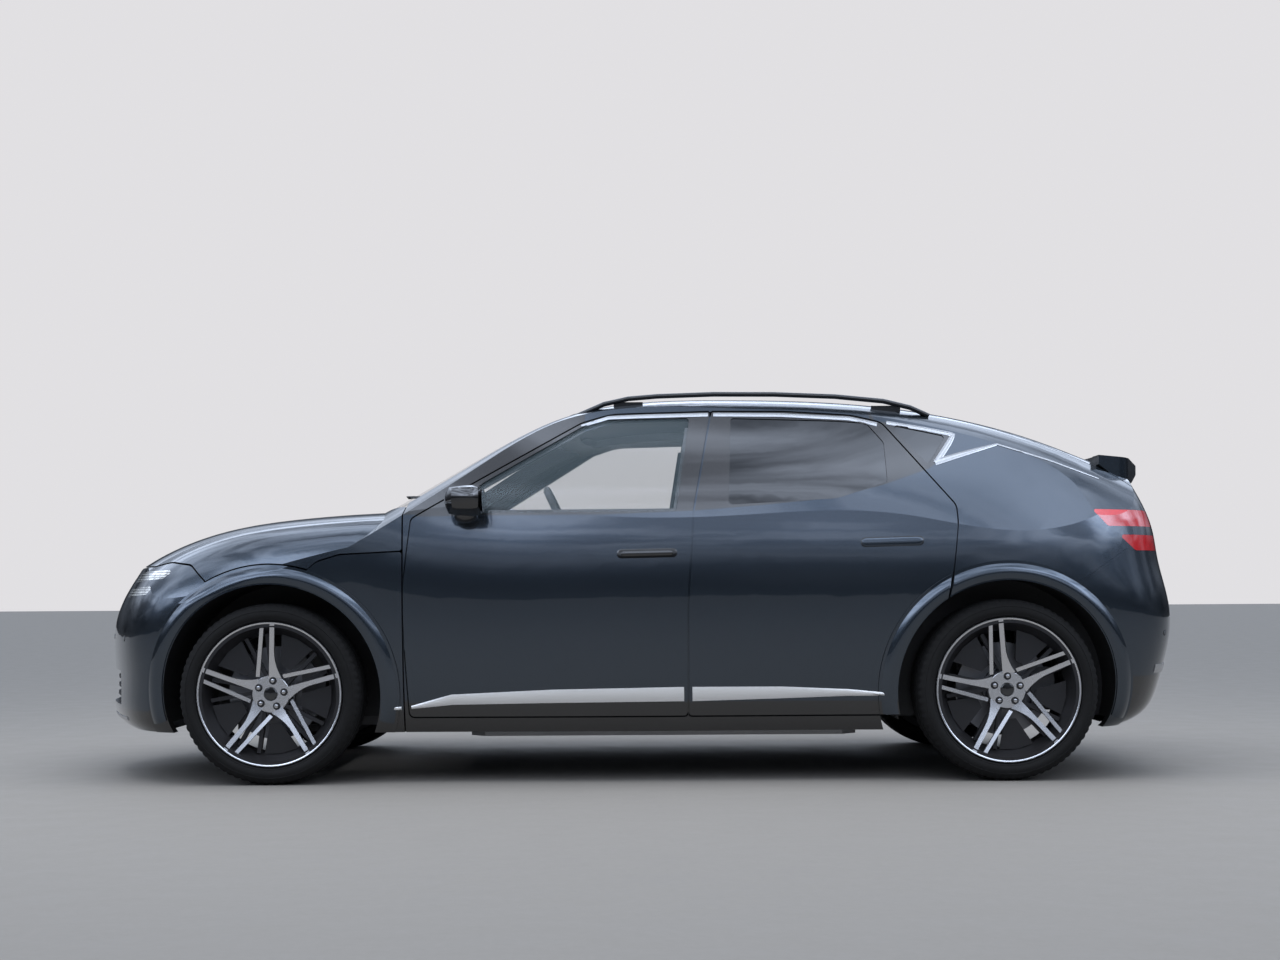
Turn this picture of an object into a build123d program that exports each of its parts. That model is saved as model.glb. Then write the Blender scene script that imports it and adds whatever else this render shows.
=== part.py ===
from build123d import *
import math
import os

# Compact sport utility vehicle, millimetres.
# +X points forwards, +Y to the left, +Z up, origin on the ground under the middle of the car.

# Overall sizes
LENGTH = 4515.0
WIDTH = 1890.0
ROOF_HEIGHT = 1563.0
BELT_HEIGHT = 1050.0
HOOD_HEIGHT = 1112.0
BODY_BOTTOM = 200.0
WHEELBASE = 2900.0
FRONT_OVERHANG = 845.0
TRACK = 1606.0

# Panel build-up, measured inwards from the painted surface
DOOR_SKIN = 12.0
DOOR_FLANGE_SEAT = 18.0
PANEL = 35.0
GUTTER = 42.0
WALL = 75.0
GLASS_INSET = 4.0
FLARE_PROUD = 10.0
SHUT_GAP = 6.0
GLASS_GAP = 0.3
SEAM = 0.5

# Doors
DOOR_BOTTOM = 262.0
SILL_TOP = 400.0
CORE_INSET = 65.0
OPENING_INSET = 35.0
SILL_CLEARANCE = 30.0
DOOR_ZONE_IN = 300.0
REBATE = 12.0

# Wheels and tyres
TYRE_RADIUS = 357.0
TYRE_WIDTH = 255.0
BEAD_RADIUS = 266.0
RIM_FLANGE = 284.0
RIM_WIDTH = 236.0
RIM_WALL = 11.0
BEAD_GAP = 0.3
HUB_RADIUS = 78.0
SPOKE_PAIRS = 5
SPOKE_BAR = 15.0
SPOKE_DEPTH = 30.0
FACE_OFFSET = 78.0
SPINDLE_RADIUS = 30.0
SPINDLE_CLEARANCE = 0.05
DISC_RADIUS = 185.0
DISC_THICKNESS = 26.0
DISC_BELL = 85.0

DISC_IN = -35.0
HUB_FACE = 22.0
BELL_SHEET = 10.0
CAP_SHEET = 12.0
PLATE_ROOT = 120.0
PLATE_SETBACK = 10.0
PLATE_SHEET = 8.0
UPRIGHT_IN = -92.0
UPRIGHT_OUT = -46.0
UPRIGHT_RADIUS = 62.0
PAD_GAP = 3.5

# Wheel arches
ARCH_RADIUS = 432.0
FLARE_BAND = 76.0
LINER_WALL = 6.0
LINER_GAP = 4.0
FRONT_LINER_IN = 463.0
REAR_LINER_IN = 640.0
LINER_HOLE = 245.0

# Steering knuckles and arms
KINGPIN_INSET = 62.0
KINGPIN_RADIUS = 12.0
KINGPIN_CLEARANCE = 0.05
KINGPIN_HALF = 150.0
ARM_THICKNESS = 24.0
ARM_GAP = 0.5
EYE_RADIUS = 22.0
SUBFRAME_HALF = 440.0
SUBFRAME_BOTTOM = 185.0
SUBFRAME_TOP = 265.0
LINER_BOTTOM = 240.0
TRAY_RISE = 4.0
TRAY_SHEET = 5.0

# Underbody and floor
BATTERY_BOTTOM = 165.0
BATTERY_HALF = 620.0
FLOOR_SHEET = 20.0
CABIN_FLOOR = 325.0
BATTERY_TOP = CABIN_FLOOR - FLOOR_SHEET / 2
LOAD_FLOOR = 690.0
SEAT_FLOOR = 480.0

# Steering wheel and seats
STEERING_WHEEL_RADIUS = 185.0
STEERING_WHEEL_GRIP = 15.0
STEERING_WHEEL_Y = 370.0
STEERING_WHEEL_Z = 1014.0
COLUMN_RADIUS = 15.0
COLUMN_CLEARANCE = 0.05
COLUMN_LENGTH = 320.0
COLUMN_TILT = 25.0
SEAT_Y = 370.0
SEAT_HALF = 255.0
REAR_SEAT_HALF = 620.0

# Places worked out from the sizes above
NOSE = LENGTH / 2
TAIL = -LENGTH / 2
SIDE = WIDTH / 2
FRONT_AXLE = NOSE - FRONT_OVERHANG
REAR_AXLE = FRONT_AXLE - WHEELBASE
HUB_Y = TRACK / 2
BATTERY_FRONT = FRONT_AXLE - 760
FAR = 3000.0


def front(distance):
    """x of a place so far behind the front axle"""
    return FRONT_AXLE - distance


def rear(distance):
    """x of a place so far ahead of the rear axle"""
    return REAR_AXLE + distance


def chord_places(points):
    """Places of points along an open curve, from 0 to 1, by the lengths of the straight runs"""
    runs = [math.dist(a, b) for a, b in zip(points, points[1:])]
    places = [0.0]
    for run in runs:
        places.append(places[-1] + run / sum(runs))
    return places


# Body surface: lower body levels as height, nose and tail setback, and side inset
LOWER_LEVELS = [
    (BODY_BOTTOM, 62, 197, 90),
    (350, 10, 50, 47),
    (500, 9, 13, 26),
    (650, 20, 1, 15),
    (800, 90, 32, 14),
    (950, 195, 60, 25),
    (1100, 345, 105, 53),
    (1250, 508, 187, 86),
    (1400, 665, 270, 122),
    (1550, 822, 352, 158),
    (1700, 979, 434, 194),
]
# Corner rounding as share of the half width and setback from the end
NOSE_CORNER = [(0.40, 75), (0.70, 185), (0.86, 290), (0.947, 430)]
TAIL_CORNER = [(0.45, 22), (0.78, 85), (0.895, 180), (0.965, 330)]
SIDE_STATIONS = (0.2, 0.4, 0.6, 0.8)
BARREL_RISE = 22.0
BARREL_MIDDLE = -500.0
BARREL_REACH = 1900.0


def lower_body(inset):
    """Left half of everything below the belt line: level curves lofted upwards"""
    wires = []
    places = None
    for z, nose_back, tail_back, side_in in LOWER_LEVELS:
        x_nose = NOSE - nose_back - inset
        x_tail = TAIL + tail_back + inset
        half = SIDE - side_in - inset
        points = [(x_nose, 0)]
        points += [(x_nose - back, share * half) for share, back in NOSE_CORNER]
        side_front = x_nose - NOSE_CORNER[-1][1]
        side_rear = x_tail + TAIL_CORNER[-1][1]
        for share in SIDE_STATIONS:
            x = side_front + (side_rear - side_front) * share
            points.append((x, half - BARREL_RISE * ((x - BARREL_MIDDLE) / BARREL_REACH) ** 2))
        points += [(x_tail + back, share * half) for share, back in reversed(TAIL_CORNER)]
        points += [(x_tail, 0)]
        places = places or chord_places(points)
        curve = Edge.make_spline([Vector(x, y, z) for x, y in points],
                                 tangents=[Vector(0, 1, 0), Vector(0, -1, 0)], parameters=places)
        wires.append(Wire([curve, Edge.make_line(curve @ 1, curve @ 0)]))
    return Solid.make_loft(wires, False)


# Glasshouse: height, half width, and how much of the taper along the car applies there
GLASSHOUSE_LEVELS = [
    (100, SIDE + 420, 0.4),
    (500, SIDE + 225, 0.4),
    (BELT_HEIGHT, SIDE - 43, 0.4),
    (ROOF_HEIGHT - 293, SIDE - 163, 1.0),
    (ROOF_HEIGHT - 78, SIDE - 317, 1.0),
    (ROOF_HEIGHT + 117, SIDE - 475, 1.0),
]
GLASSHOUSE_TAPER = [
    (front(-1288), -70),
    (front(412), -8),
    (front(1412), 0),
    (rear(488), -8),
    (rear(-212), -70),
    (rear(-1112), -220),
]


def glasshouse(inset):
    """Left half of the leaning side windows and pillars: level curves lofted upwards"""
    wires = []
    places = chord_places(GLASSHOUSE_TAPER)
    for z, half, share in GLASSHOUSE_LEVELS:
        points = [Vector(x, half + change * share - inset, z) for x, change in GLASSHOUSE_TAPER]
        curve = Edge.make_spline(points, parameters=places)
        tail_foot = Vector(points[-1].X, 0, z)
        nose_foot = Vector(points[0].X, 0, z)
        wires.append(Wire([curve, Edge.make_line(curve @ 1, tail_foot), Edge.make_line(tail_foot, nose_foot),
                           Edge.make_line(nose_foot, curve @ 0)]))
    return Solid.make_loft(wires, False)


# Centre line of the hood, and how it falls and draws back towards the sides
HOOD_LINE = [
    (front(-918), HOOD_HEIGHT - 462),
    (front(-767), HOOD_HEIGHT - 283),
    (front(-567), HOOD_HEIGHT - 162),
    (front(-317), HOOD_HEIGHT - 80),
    (FRONT_AXLE, HOOD_HEIGHT - 34),
    (front(413), HOOD_HEIGHT - 9),
    (front(913), HOOD_HEIGHT),
]
HOOD_SIDES = [(0, 0, 0), (400, 15, 70), (700, 44, 190), (850, 95, 330), (960, 260, 500)]
HOOD_SWEEP_START = front(513)
HOOD_SWEEP_LENGTH = 1200.0

# Centre line of windscreen, roof and tailgate: x, z, draw-back at the side, share of the side fall
CABIN_LINE = [
    (front(82), ROOF_HEIGHT - 623, -140, 0.05),
    (front(312), ROOF_HEIGHT - 494, -140, 0.05),
    (front(672), ROOF_HEIGHT - 290, -130, 0.08),
    (front(1057), ROOF_HEIGHT - 93, -110, 0.25),
    (front(1317), ROOF_HEIGHT - 28, -60, 0.6),
    (rear(1088), ROOF_HEIGHT, 0, 1.0),
    (rear(588), ROOF_HEIGHT - 18, 0, 1.0),
    (rear(188), ROOF_HEIGHT - 69, 20, 1.0),
    (rear(-172), ROOF_HEIGHT - 159, 40, 0.9),
    (rear(-512), ROOF_HEIGHT - 288, 60, 0.8),
    (rear(-862), ROOF_HEIGHT - 443, 60, 0.8),
]
CABIN_SIDES = [(0, 0), (300, 8), (550, 34), (700, 120), (830, 268), (960, 390)]
CABIN_DRAW_WIDTH = 750.0
SLAB_FLOOR = 100.0


def inward(points, distance):
    """An open outline moved inwards along its local normal"""
    moved = []
    for i, (x, z) in enumerate(points):
        ahead = points[max(i - 1, 0)]
        behind = points[min(i + 1, len(points) - 1)]
        dx = behind[0] - ahead[0]
        dz = behind[1] - ahead[1]
        run = math.hypot(dx, dz)
        moved.append((x - dz / run * distance, z + dx / run * distance))
    return moved


def top_slab(sections):
    """Solid under a curved top, lofted across the car from just past its middle to the left"""
    y_second, points_second = sections[1]
    places = chord_places(sections[0][1])
    wires = []
    for y, points in [(-y_second, points_second)] + sections:
        top = Edge.make_spline([Vector(x, y, z) for x, z in points], parameters=places)
        start = top @ 0
        end = top @ 1
        start_foot = Vector(start.X, y, SLAB_FLOOR)
        end_foot = Vector(end.X, y, SLAB_FLOOR)
        wires.append(Wire([top, Edge.make_line(end, end_foot), Edge.make_line(end_foot, start_foot),
                           Edge.make_line(start_foot, start)]))
    return Solid.make_loft(wires, False)


def hood_top(inset):
    sections = []
    for y, fall, draw in HOOD_SIDES:
        points = []
        for x, z in inward(HOOD_LINE, inset):
            share = min(1, max(0, (x - HOOD_SWEEP_START) / HOOD_SWEEP_LENGTH))
            points.append((x - draw * share, z - fall))
        sections.append((y, points))
    return top_slab(sections)


def cabin_top(inset):
    line = inward([(x, z) for x, z, draw, share in CABIN_LINE], inset)
    sections = []
    for y, fall in CABIN_SIDES:
        points = []
        for (x, z), (_, _, draw, share) in zip(line, CABIN_LINE):
            points.append((x + draw * (y / CABIN_DRAW_WIDTH) ** 2, z - fall * share))
        sections.append((y, points))
    return top_slab(sections)


def envelope(inset):
    """Left half of the whole body surface moved inwards by a distance"""
    sides = lower_body(inset) & glasshouse(inset)
    return sides & (hood_top(inset) + cabin_top(inset))


def outline(points, radii):
    """Closed flat outline of straight runs with a rounding of its own at each corner"""
    return make_face(FilletPolyline(*points, radius=radii, close=True))


def grown(sketch, amount):
    return offset(sketch, amount=amount)


def side_cut(sketch, y_in=-10.0, y_out=1200.0):
    """Prism across the left half of the car of an outline drawn in side view"""
    plane = Plane(origin=(0, y_out, 0), x_dir=(1, 0, 0), z_dir=(0, -1, 0))
    return extrude(plane * sketch, amount=y_out - y_in, dir=(0, -1, 0))


def plan_cut(sketch, z_low=-100.0, z_high=2000.0):
    """Upright prism of an outline drawn in plan"""
    return extrude(Pos(0, 0, z_low) * sketch, amount=z_high - z_low, dir=(0, 0, 1))


def ring(x, radius_in, radius_out):
    """Flat ring about a wheel's hub in side view"""
    return Pos(x, TYRE_RADIUS) * (Circle(radius_out) - Circle(radius_in))


def disc(x, radius):
    return Pos(x, TYRE_RADIUS) * Circle(radius)


def block(x0, x1, y0, y1, z0, z1):
    return Pos((x0 + x1) / 2, (y0 + y1) / 2, (z0 + z1) / 2) * Box(x1 - x0, y1 - y0, z1 - z0)


def above(z):
    return block(-FAR, FAR, -FAR, FAR, z, FAR)


def other_side(shape):
    return mirror(shape, about=Plane.XZ)


def whole(left):
    """A panel across the car from its left half"""
    return left + other_side(left)


def write(name, *solids):
    shape = solids[0] if len(solids) == 1 else Compound(children=list(solids))
    export_step(shape, f"parts/{name}.step")


os.makedirs("parts", exist_ok=True)

# Body surface at each depth of the panel build-up
FLARE_SURFACE = envelope(-FLARE_PROUD)
SURFACE = envelope(0.0)
GLASS_SURFACE = envelope(GLASS_INSET)
SKIN_INSIDE = envelope(DOOR_SKIN)
FLANGE_SEAT = envelope(DOOR_FLANGE_SEAT)
PANEL_INSIDE = envelope(PANEL)
GUTTER_SURFACE = envelope(GUTTER)
WALL_INSIDE = envelope(WALL)
PANEL_LAYER = SURFACE - PANEL_INSIDE
GLASS_LAYER = GLASS_SURFACE - SKIN_INSIDE

# Side view outlines of the doors and windows
FRONT_DOOR_EDGE = front(526)
B_PILLAR = front(1640)
ROOF_EDGE = ROOF_HEIGHT - 81
FRONT_DOOR = outline(
    [
        (FRONT_DOOR_EDGE - 20, DOOR_BOTTOM),
        (FRONT_DOOR_EDGE, 640),
        (FRONT_DOOR_EDGE, 770),
        (FRONT_DOOR_EDGE - 33, BELT_HEIGHT - 8),
        (front(1225), ROOF_EDGE - 47),
        (front(1343), ROOF_EDGE - 10),
        (B_PILLAR - 105, ROOF_EDGE),
        (B_PILLAR - 25, BELT_HEIGHT + 18),
        (B_PILLAR, 690),
        (B_PILLAR, DOOR_BOTTOM),
    ],
    [18, 500, 400, 25, 120, 300, 8, 600, 600, 12],
)
REAR_DOOR_EDGE = B_PILLAR - SHUT_GAP - 2
REAR_DOOR_CORNER = rear(195)
REAR_DOOR = outline(
    [
        (REAR_DOOR_EDGE, DOOR_BOTTOM),
        (REAR_DOOR_EDGE, 690),
        (REAR_DOOR_EDGE - 25, BELT_HEIGHT + 18),
        (REAR_DOOR_EDGE - 105, ROOF_EDGE),
        (rear(850), ROOF_EDGE - 2),
        (rear(580), ROOF_EDGE - 20),
        (rear(462), ROOF_EDGE - 50),
        (rear(296), ROOF_EDGE - 267),
        (REAR_DOOR_CORNER, BELT_HEIGHT + 35),
        (REAR_DOOR_CORNER, BELT_HEIGHT - 26),
        (rear(216), BELT_HEIGHT - 216),
        (rear(250), BELT_HEIGHT - 390),
        (rear(250), DOOR_BOTTOM),
    ],
    [12, 600, 600, 8, 800, 300, 60, 700, 50, 60, 300, 100, 0],
) - disc(REAR_AXLE, ARCH_RADIUS)

BELT_FRONT = BELT_HEIGHT + 14
FRONT_WINDOW = outline(
    [
        (front(722), BELT_FRONT),
        (front(818), BELT_FRONT + 112),
        (front(1255), ROOF_EDGE - 43),
        (front(1300), ROOF_EDGE - 31),
        (front(1661), ROOF_EDGE - 25),
        (front(1601), BELT_FRONT + 3),
    ],
    [20, 200, 90, 200, 14, 14],
)
REAR_WINDOW = outline(
    [
        (front(1808), BELT_HEIGHT + 42),
        (front(1829), ROOF_EDGE - 27),
        (rear(640), ROOF_EDGE - 41),
        (rear(520), ROOF_EDGE - 51),
        (rear(458), ROOF_EDGE - 134),
        (rear(458), BELT_HEIGHT + 133),
        (rear(660), BELT_HEIGHT + 66),
    ],
    [14, 14, 600, 25, 30, 14, 200],
)
QUARTER_WINDOW = outline(
    [
        (rear(428), ROOF_EDGE - 57),
        (rear(203), ROOF_EDGE - 107),
        (rear(286), ROOF_EDGE - 228),
    ],
    [12, 12, 12],
)


def door(shape, window):
    """Pressed skin with a deeper core behind it, and a rebated window opening"""
    reach = shape.bounding_box()
    zone = block(reach.min.X - SHUT_GAP, reach.max.X + SHUT_GAP, DOOR_ZONE_IN, FAR, 0, FAR)
    skin = (SURFACE & zone & side_cut(shape)) - (SKIN_INSIDE & zone)
    core_cut = side_cut(grown(shape, -CORE_INSET)) & above(SILL_TOP + SILL_CLEARANCE)
    core = (SKIN_INSIDE & zone & core_cut) - (WALL_INSIDE & zone)
    return (skin - side_cut(grown(window, GLASS_GAP))) + (core - side_cut(grown(window, -REBATE)))


def door_opening(body, shape):
    """Body side cut back for a door: a step for its skin and a smaller hole for its core"""
    step = side_cut(grown(shape, SHUT_GAP)) - FLANGE_SEAT
    hole = side_cut(grown(shape, -OPENING_INSET)) & above(SILL_TOP)
    return body - step - hole


flare_edge = ARCH_RADIUS + FLARE_BAND
front_door = door(FRONT_DOOR, FRONT_WINDOW)
door_flare_sketch = REAR_DOOR & ring(REAR_AXLE, ARCH_RADIUS, flare_edge)
rear_door_flare = (FLARE_SURFACE & side_cut(door_flare_sketch)) - SKIN_INSIDE
rear_door = door(REAR_DOOR, REAR_WINDOW) + rear_door_flare
front_pane = GLASS_LAYER & side_cut(FRONT_WINDOW)
rear_pane = GLASS_LAYER & side_cut(REAR_WINDOW)
quarter_pane = GLASS_LAYER & side_cut(QUARTER_WINDOW)
write("front_door_left", front_door)
write("front_door_right", other_side(front_door))
write("rear_door_left", rear_door)
write("rear_door_right", other_side(rear_door))
write("front_door_glass_left", front_pane)
write("front_door_glass_right", other_side(front_pane))
write("rear_door_glass_left", rear_pane)
write("rear_door_glass_right", other_side(rear_pane))
write("quarter_glass", quarter_pane, other_side(quarter_pane))

# Plan outlines of windscreen, roof and tailgate
SCREEN_BASE = front(412)
COWL_SIDE = FRONT_DOOR_EDGE + SHUT_GAP
HEADER = front(1130)
TAILGATE_FRONT = rear(188)
TAILGATE_HALF = SIDE - 340
TAILGATE_LOWER_HALF = SIDE - 245
TAILGATE_BOTTOM = 640.0


def plan_outline(points, radii):
    """Plan outline from its left half, front to rear"""
    right = [(x, -y) for x, y in reversed(points)]
    return outline(points + right, radii + list(reversed(radii)))


WINDSCREEN = plan_outline(
    [(SCREEN_BASE, 330), (SCREEN_BASE - 118, 700), (HEADER - 68, 552), (HEADER, 260)],
    [900, 30, 20, 700],
)
ROOF = plan_outline(
    [(HEADER - 30, 260), (HEADER - 98, 545), (TAILGATE_FRONT + SHUT_GAP, 520)],
    [600, 12, 12],
)
TAILGATE = plan_outline(
    [(TAILGATE_FRONT, 515), (rear(-480), TAILGATE_HALF), (rear(-640), TAILGATE_LOWER_HALF),
     (TAIL - 200, TAILGATE_LOWER_HALF)],
    [25, 200, 120, 0],
)
REAR_SCREEN = plan_outline([(TAILGATE_FRONT - 70, 450), (rear(-445), 545)], [40, 60])
COWL = plan_outline(
    [(SCREEN_BASE + 62, 300), (COWL_SIDE, 760), (COWL_SIDE, 1300), (front(1000), 1300)],
    [900, 60, 0, 0],
)

# Panels of the front and rear ends
FRONT_LAYER = PANEL_LAYER & block(COWL_SIDE - 200, FAR, -FAR, FAR, 0, FAR)
REAR_LAYER = PANEL_LAYER & block(-FAR, rear(450), -FAR, FAR, 0, FAR)

write("windscreen", whole(GLASS_LAYER & plan_cut(WINDSCREEN, 700.0)))
write("roof_panel", whole(PANEL_LAYER & plan_cut(ROOF, 1000.0)))

# Tailgate with its spoiler and rear screen
SPOILER_TIP = TAIL + 62
SPOILER_HALF = 600.0
spoiler_profile = outline(
    [
        (rear(-440), ROOF_HEIGHT - 262),
        (SPOILER_TIP, ROOF_HEIGHT - 288),
        (SPOILER_TIP + 2, ROOF_HEIGHT - 310),
        (SPOILER_TIP + 95, ROOF_HEIGHT - 372),
        (rear(-540), ROOF_HEIGHT - 380),
        (rear(-440), ROOF_HEIGHT - 300),
    ],
    [0, 4, 4, 60, 0, 0],
)
spoiler_plan = plan_outline(
    [(rear(-400), SPOILER_HALF), (SPOILER_TIP + 150, SPOILER_HALF), (SPOILER_TIP, 200)],
    [0, 60, 500],
)
tailgate_opening = plan_cut(grown(TAILGATE, SHUT_GAP)) & above(TAILGATE_BOTTOM - SHUT_GAP)
spoiler = (side_cut(spoiler_profile, 0) & plan_cut(spoiler_plan)) - PANEL_INSIDE
tailgate = (REAR_LAYER & plan_cut(TAILGATE) & above(TAILGATE_BOTTOM)) + spoiler
tailgate = tailgate - (plan_cut(grown(REAR_SCREEN, GLASS_GAP), 1000.0) - SKIN_INSIDE)
tailgate = tailgate - plan_cut(grown(REAR_SCREEN, -REBATE), 1000.0)
write("tailgate_glass", whole(GLASS_LAYER & plan_cut(REAR_SCREEN, 1000.0)))

# Tail lamps: two slim bars round each corner, split at the tailgate
LAMP_INNER = 430.0
LAMP_BARS = [
    outline([(rear(-344), 1068), (rear(-1000), 1060), (rear(-1000), 1000), (rear(-406), 1000)], [8, 0, 0, 20]),
    outline([(rear(-450), 966), (rear(-1000), 962), (rear(-1000), 904), (rear(-523), 904)], [8, 0, 0, 20]),
]
tail_lamp = []
tailgate_lamp = []
for bar in LAMP_BARS:
    lens = REAR_LAYER & side_cut(bar, LAMP_INNER)
    tail_lamp.append(lens - plan_cut(grown(TAILGATE, SHUT_GAP)))
    tailgate_lamp.append(lens & plan_cut(grown(TAILGATE, -SHUT_GAP)))
lamp_pocket = [side_cut(grown(bar, GLASS_GAP), LAMP_INNER - GLASS_GAP) for bar in LAMP_BARS]
for pocket in lamp_pocket:
    tailgate = tailgate - (pocket & plan_cut(grown(TAILGATE, GLASS_GAP - SHUT_GAP)))
write("tail_lamps", *tail_lamp, *[other_side(lamp) for lamp in tail_lamp])
write("tailgate_lamps", *tailgate_lamp, *[other_side(lamp) for lamp in tailgate_lamp])
write("tailgate", whole(tailgate))

# Rear bumper
BUMPER_TOP = 903.0
rear_bumper_outline = outline(
    [
        (rear(-282), 783),
        (rear(-480), BUMPER_TOP + 8),
        (rear(-530), BUMPER_TOP),
        (TAIL - 100, BUMPER_TOP),
        (TAIL - 100, BODY_BOTTOM - 100),
        (rear(-282), BODY_BOTTOM - 100),
    ],
    [0, 30, 30, 0, 0, 0],
)
rear_bumper = REAR_LAYER & side_cut(rear_bumper_outline - disc(REAR_AXLE, flare_edge + SEAM))
rear_bumper = rear_bumper - tailgate_opening
for pocket in lamp_pocket:
    rear_bumper = rear_bumper - pocket
write("rear_bumper", whole(rear_bumper))

# Front end: hood, bumper, fenders with flares, lamps
HOOD_NOSE_CUT = 868.0
HOOD_ZONE_LOW = 600.0
hood_outline = outline(
    [
        (COWL_SIDE, 919),
        (front(277), 907),
        (front(190), 880),
        (front(100), 800),
        (front(-250), 800),
        (front(-330), 872),
        (front(-430), 884),
        (front(-520), HOOD_NOSE_CUT),
        (NOSE + 200, HOOD_NOSE_CUT),
        (NOSE + 200, 1400),
        (COWL_SIDE, 1400),
    ],
    [10, 100, 60, 0, 0, 40, 100, 100, 0, 0, 0],
) - disc(FRONT_AXLE, flare_edge + SHUT_GAP)
hood = (FRONT_LAYER & above(HOOD_ZONE_LOW) & side_cut(hood_outline)) - plan_cut(COWL)
write("hood", whole(hood))

front_bumper_outline = outline(
    [
        (front(-225), 770),
        (front(-330), 864),
        (front(-430), 878),
        (front(-520), HOOD_NOSE_CUT - SHUT_GAP),
        (NOSE + 200, HOOD_NOSE_CUT - SHUT_GAP),
        (NOSE + 200, BODY_BOTTOM - 100),
        (front(-225), BODY_BOTTOM - 100),
    ],
    [0, 40, 100, 100, 0, 0, 0],
) - disc(FRONT_AXLE, flare_edge + SEAM)
front_bumper = FRONT_LAYER & side_cut(front_bumper_outline)

HEADLAMP_INNER = 480.0
HEADLAMP_BARS = [
    outline([(front(-400), 852), (NOSE + 100, 826), (NOSE + 100, 778), (front(-450), 815)], [10, 0, 0, 10]),
    outline([(front(-480), 786), (NOSE + 100, 758), (NOSE + 100, 718), (front(-520), 752)], [10, 0, 0, 10]),
]
headlamp = [FRONT_LAYER & side_cut(bar, HEADLAMP_INNER) for bar in HEADLAMP_BARS]
write("headlamps", *headlamp, *[other_side(lamp) for lamp in headlamp])
for bar in HEADLAMP_BARS:
    front_bumper = front_bumper - side_cut(grown(bar, GLASS_GAP), HEADLAMP_INNER - GLASS_GAP)

# Lower air intake with its slats
INTAKE_BOTTOM = 300.0
INTAKE_TOP = 440.0
INTAKE_HALF = 560.0
INTAKE_FRAME = 30.0
SLATS = 4
SLAT_HEIGHT = 12.0
intake_rear = FRONT_AXLE + 300
front_bumper = front_bumper - block(intake_rear, FAR, -FAR, INTAKE_HALF, INTAKE_BOTTOM, INTAKE_TOP)
write("front_bumper", whole(front_bumper))
grille = (SKIN_INSIDE - PANEL_INSIDE) & block(
    intake_rear, FAR, -FAR, INTAKE_HALF - GLASS_GAP, INTAKE_BOTTOM + GLASS_GAP, INTAKE_TOP - GLASS_GAP)
slat_pitch = (INTAKE_TOP - INTAKE_BOTTOM) / SLATS
for i in range(SLATS):
    slot_bottom = INTAKE_BOTTOM + slat_pitch * i + SLAT_HEIGHT / 2
    grille = grille - block(intake_rear, FAR, -FAR, INTAKE_HALF - INTAKE_FRAME,
                            slot_bottom, slot_bottom + slat_pitch - SLAT_HEIGHT)
write("front_grille", whole(grille))

FENDER_TOP = 913.0
fender_sketch = outline(
    [
        (COWL_SIDE, BODY_BOTTOM - 100),
        (COWL_SIDE, FENDER_TOP),
        (front(277), FENDER_TOP - 12),
        (front(190), 874),
        (front(100), 800),
        (front(100), BODY_BOTTOM - 100),
    ],
    [0, 10, 100, 60, 0, 0],
) - disc(FRONT_AXLE, flare_edge - 1)
front_flare = (FLARE_SURFACE & side_cut(ring(FRONT_AXLE, ARCH_RADIUS, flare_edge), 500.0)) - PANEL_INSIDE
fender = (FRONT_LAYER & side_cut(fender_sketch, 500.0)) + front_flare
write("front_fenders", fender, other_side(fender))

# Rear arch flare: from the rear door round to the bumper
ahead_of_arch = Pos(REAR_AXLE + FAR / 2, TYRE_RADIUS) * Rectangle(FAR, ARCH_RADIUS)
flare_sketch = ring(REAR_AXLE, ARCH_RADIUS, flare_edge) - grown(REAR_DOOR, SHUT_GAP) - ahead_of_arch
rear_flare = (FLARE_SURFACE & side_cut(flare_sketch, 500.0)) - PANEL_INSIDE
write("rear_arch_flares", rear_flare, other_side(rear_flare))

# Body sides: pillars, sills, roof edges and rear quarters in one pressing each
hinge_pillar = PANEL_INSIDE & block(FRONT_DOOR_EDGE - 1, COWL_SIDE + 60, 0, FAR, 0, FENDER_TOP - 20)
body = ((SURFACE & block(-FAR, FRONT_DOOR_EDGE, 0, FAR, 0, FAR)) + hinge_pillar) - WALL_INSIDE
body = door_opening(body, FRONT_DOOR)
body = door_opening(body, REAR_DOOR)
body = body - (side_cut(grown(QUARTER_WINDOW, GLASS_GAP)) - SKIN_INSIDE)
body = body - side_cut(grown(QUARTER_WINDOW, -REBATE))
body = body - (plan_cut(grown(WINDSCREEN, GLASS_GAP), 700.0) - SKIN_INSIDE)
body = body - plan_cut(grown(WINDSCREEN, -REBATE - 8), 700.0)
body = body - (plan_cut(grown(ROOF, SEAM), 1000.0) - GUTTER_SURFACE)
body = body - plan_cut(grown(ROOF, -OPENING_INSET), 1000.0)
body = body - (tailgate_opening - GUTTER_SURFACE)
body = body - (plan_cut(grown(TAILGATE, -OPENING_INSET)) & above(TAILGATE_BOTTOM + OPENING_INSET))
body = body - (side_cut(grown(rear_bumper_outline, SEAM)) - GUTTER_SURFACE)
for pocket in lamp_pocket:
    body = body - pocket
body = body - side_cut(disc(REAR_AXLE, flare_edge + SEAM))
write("body_side_left", body)
write("body_side_right", other_side(body))

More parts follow.
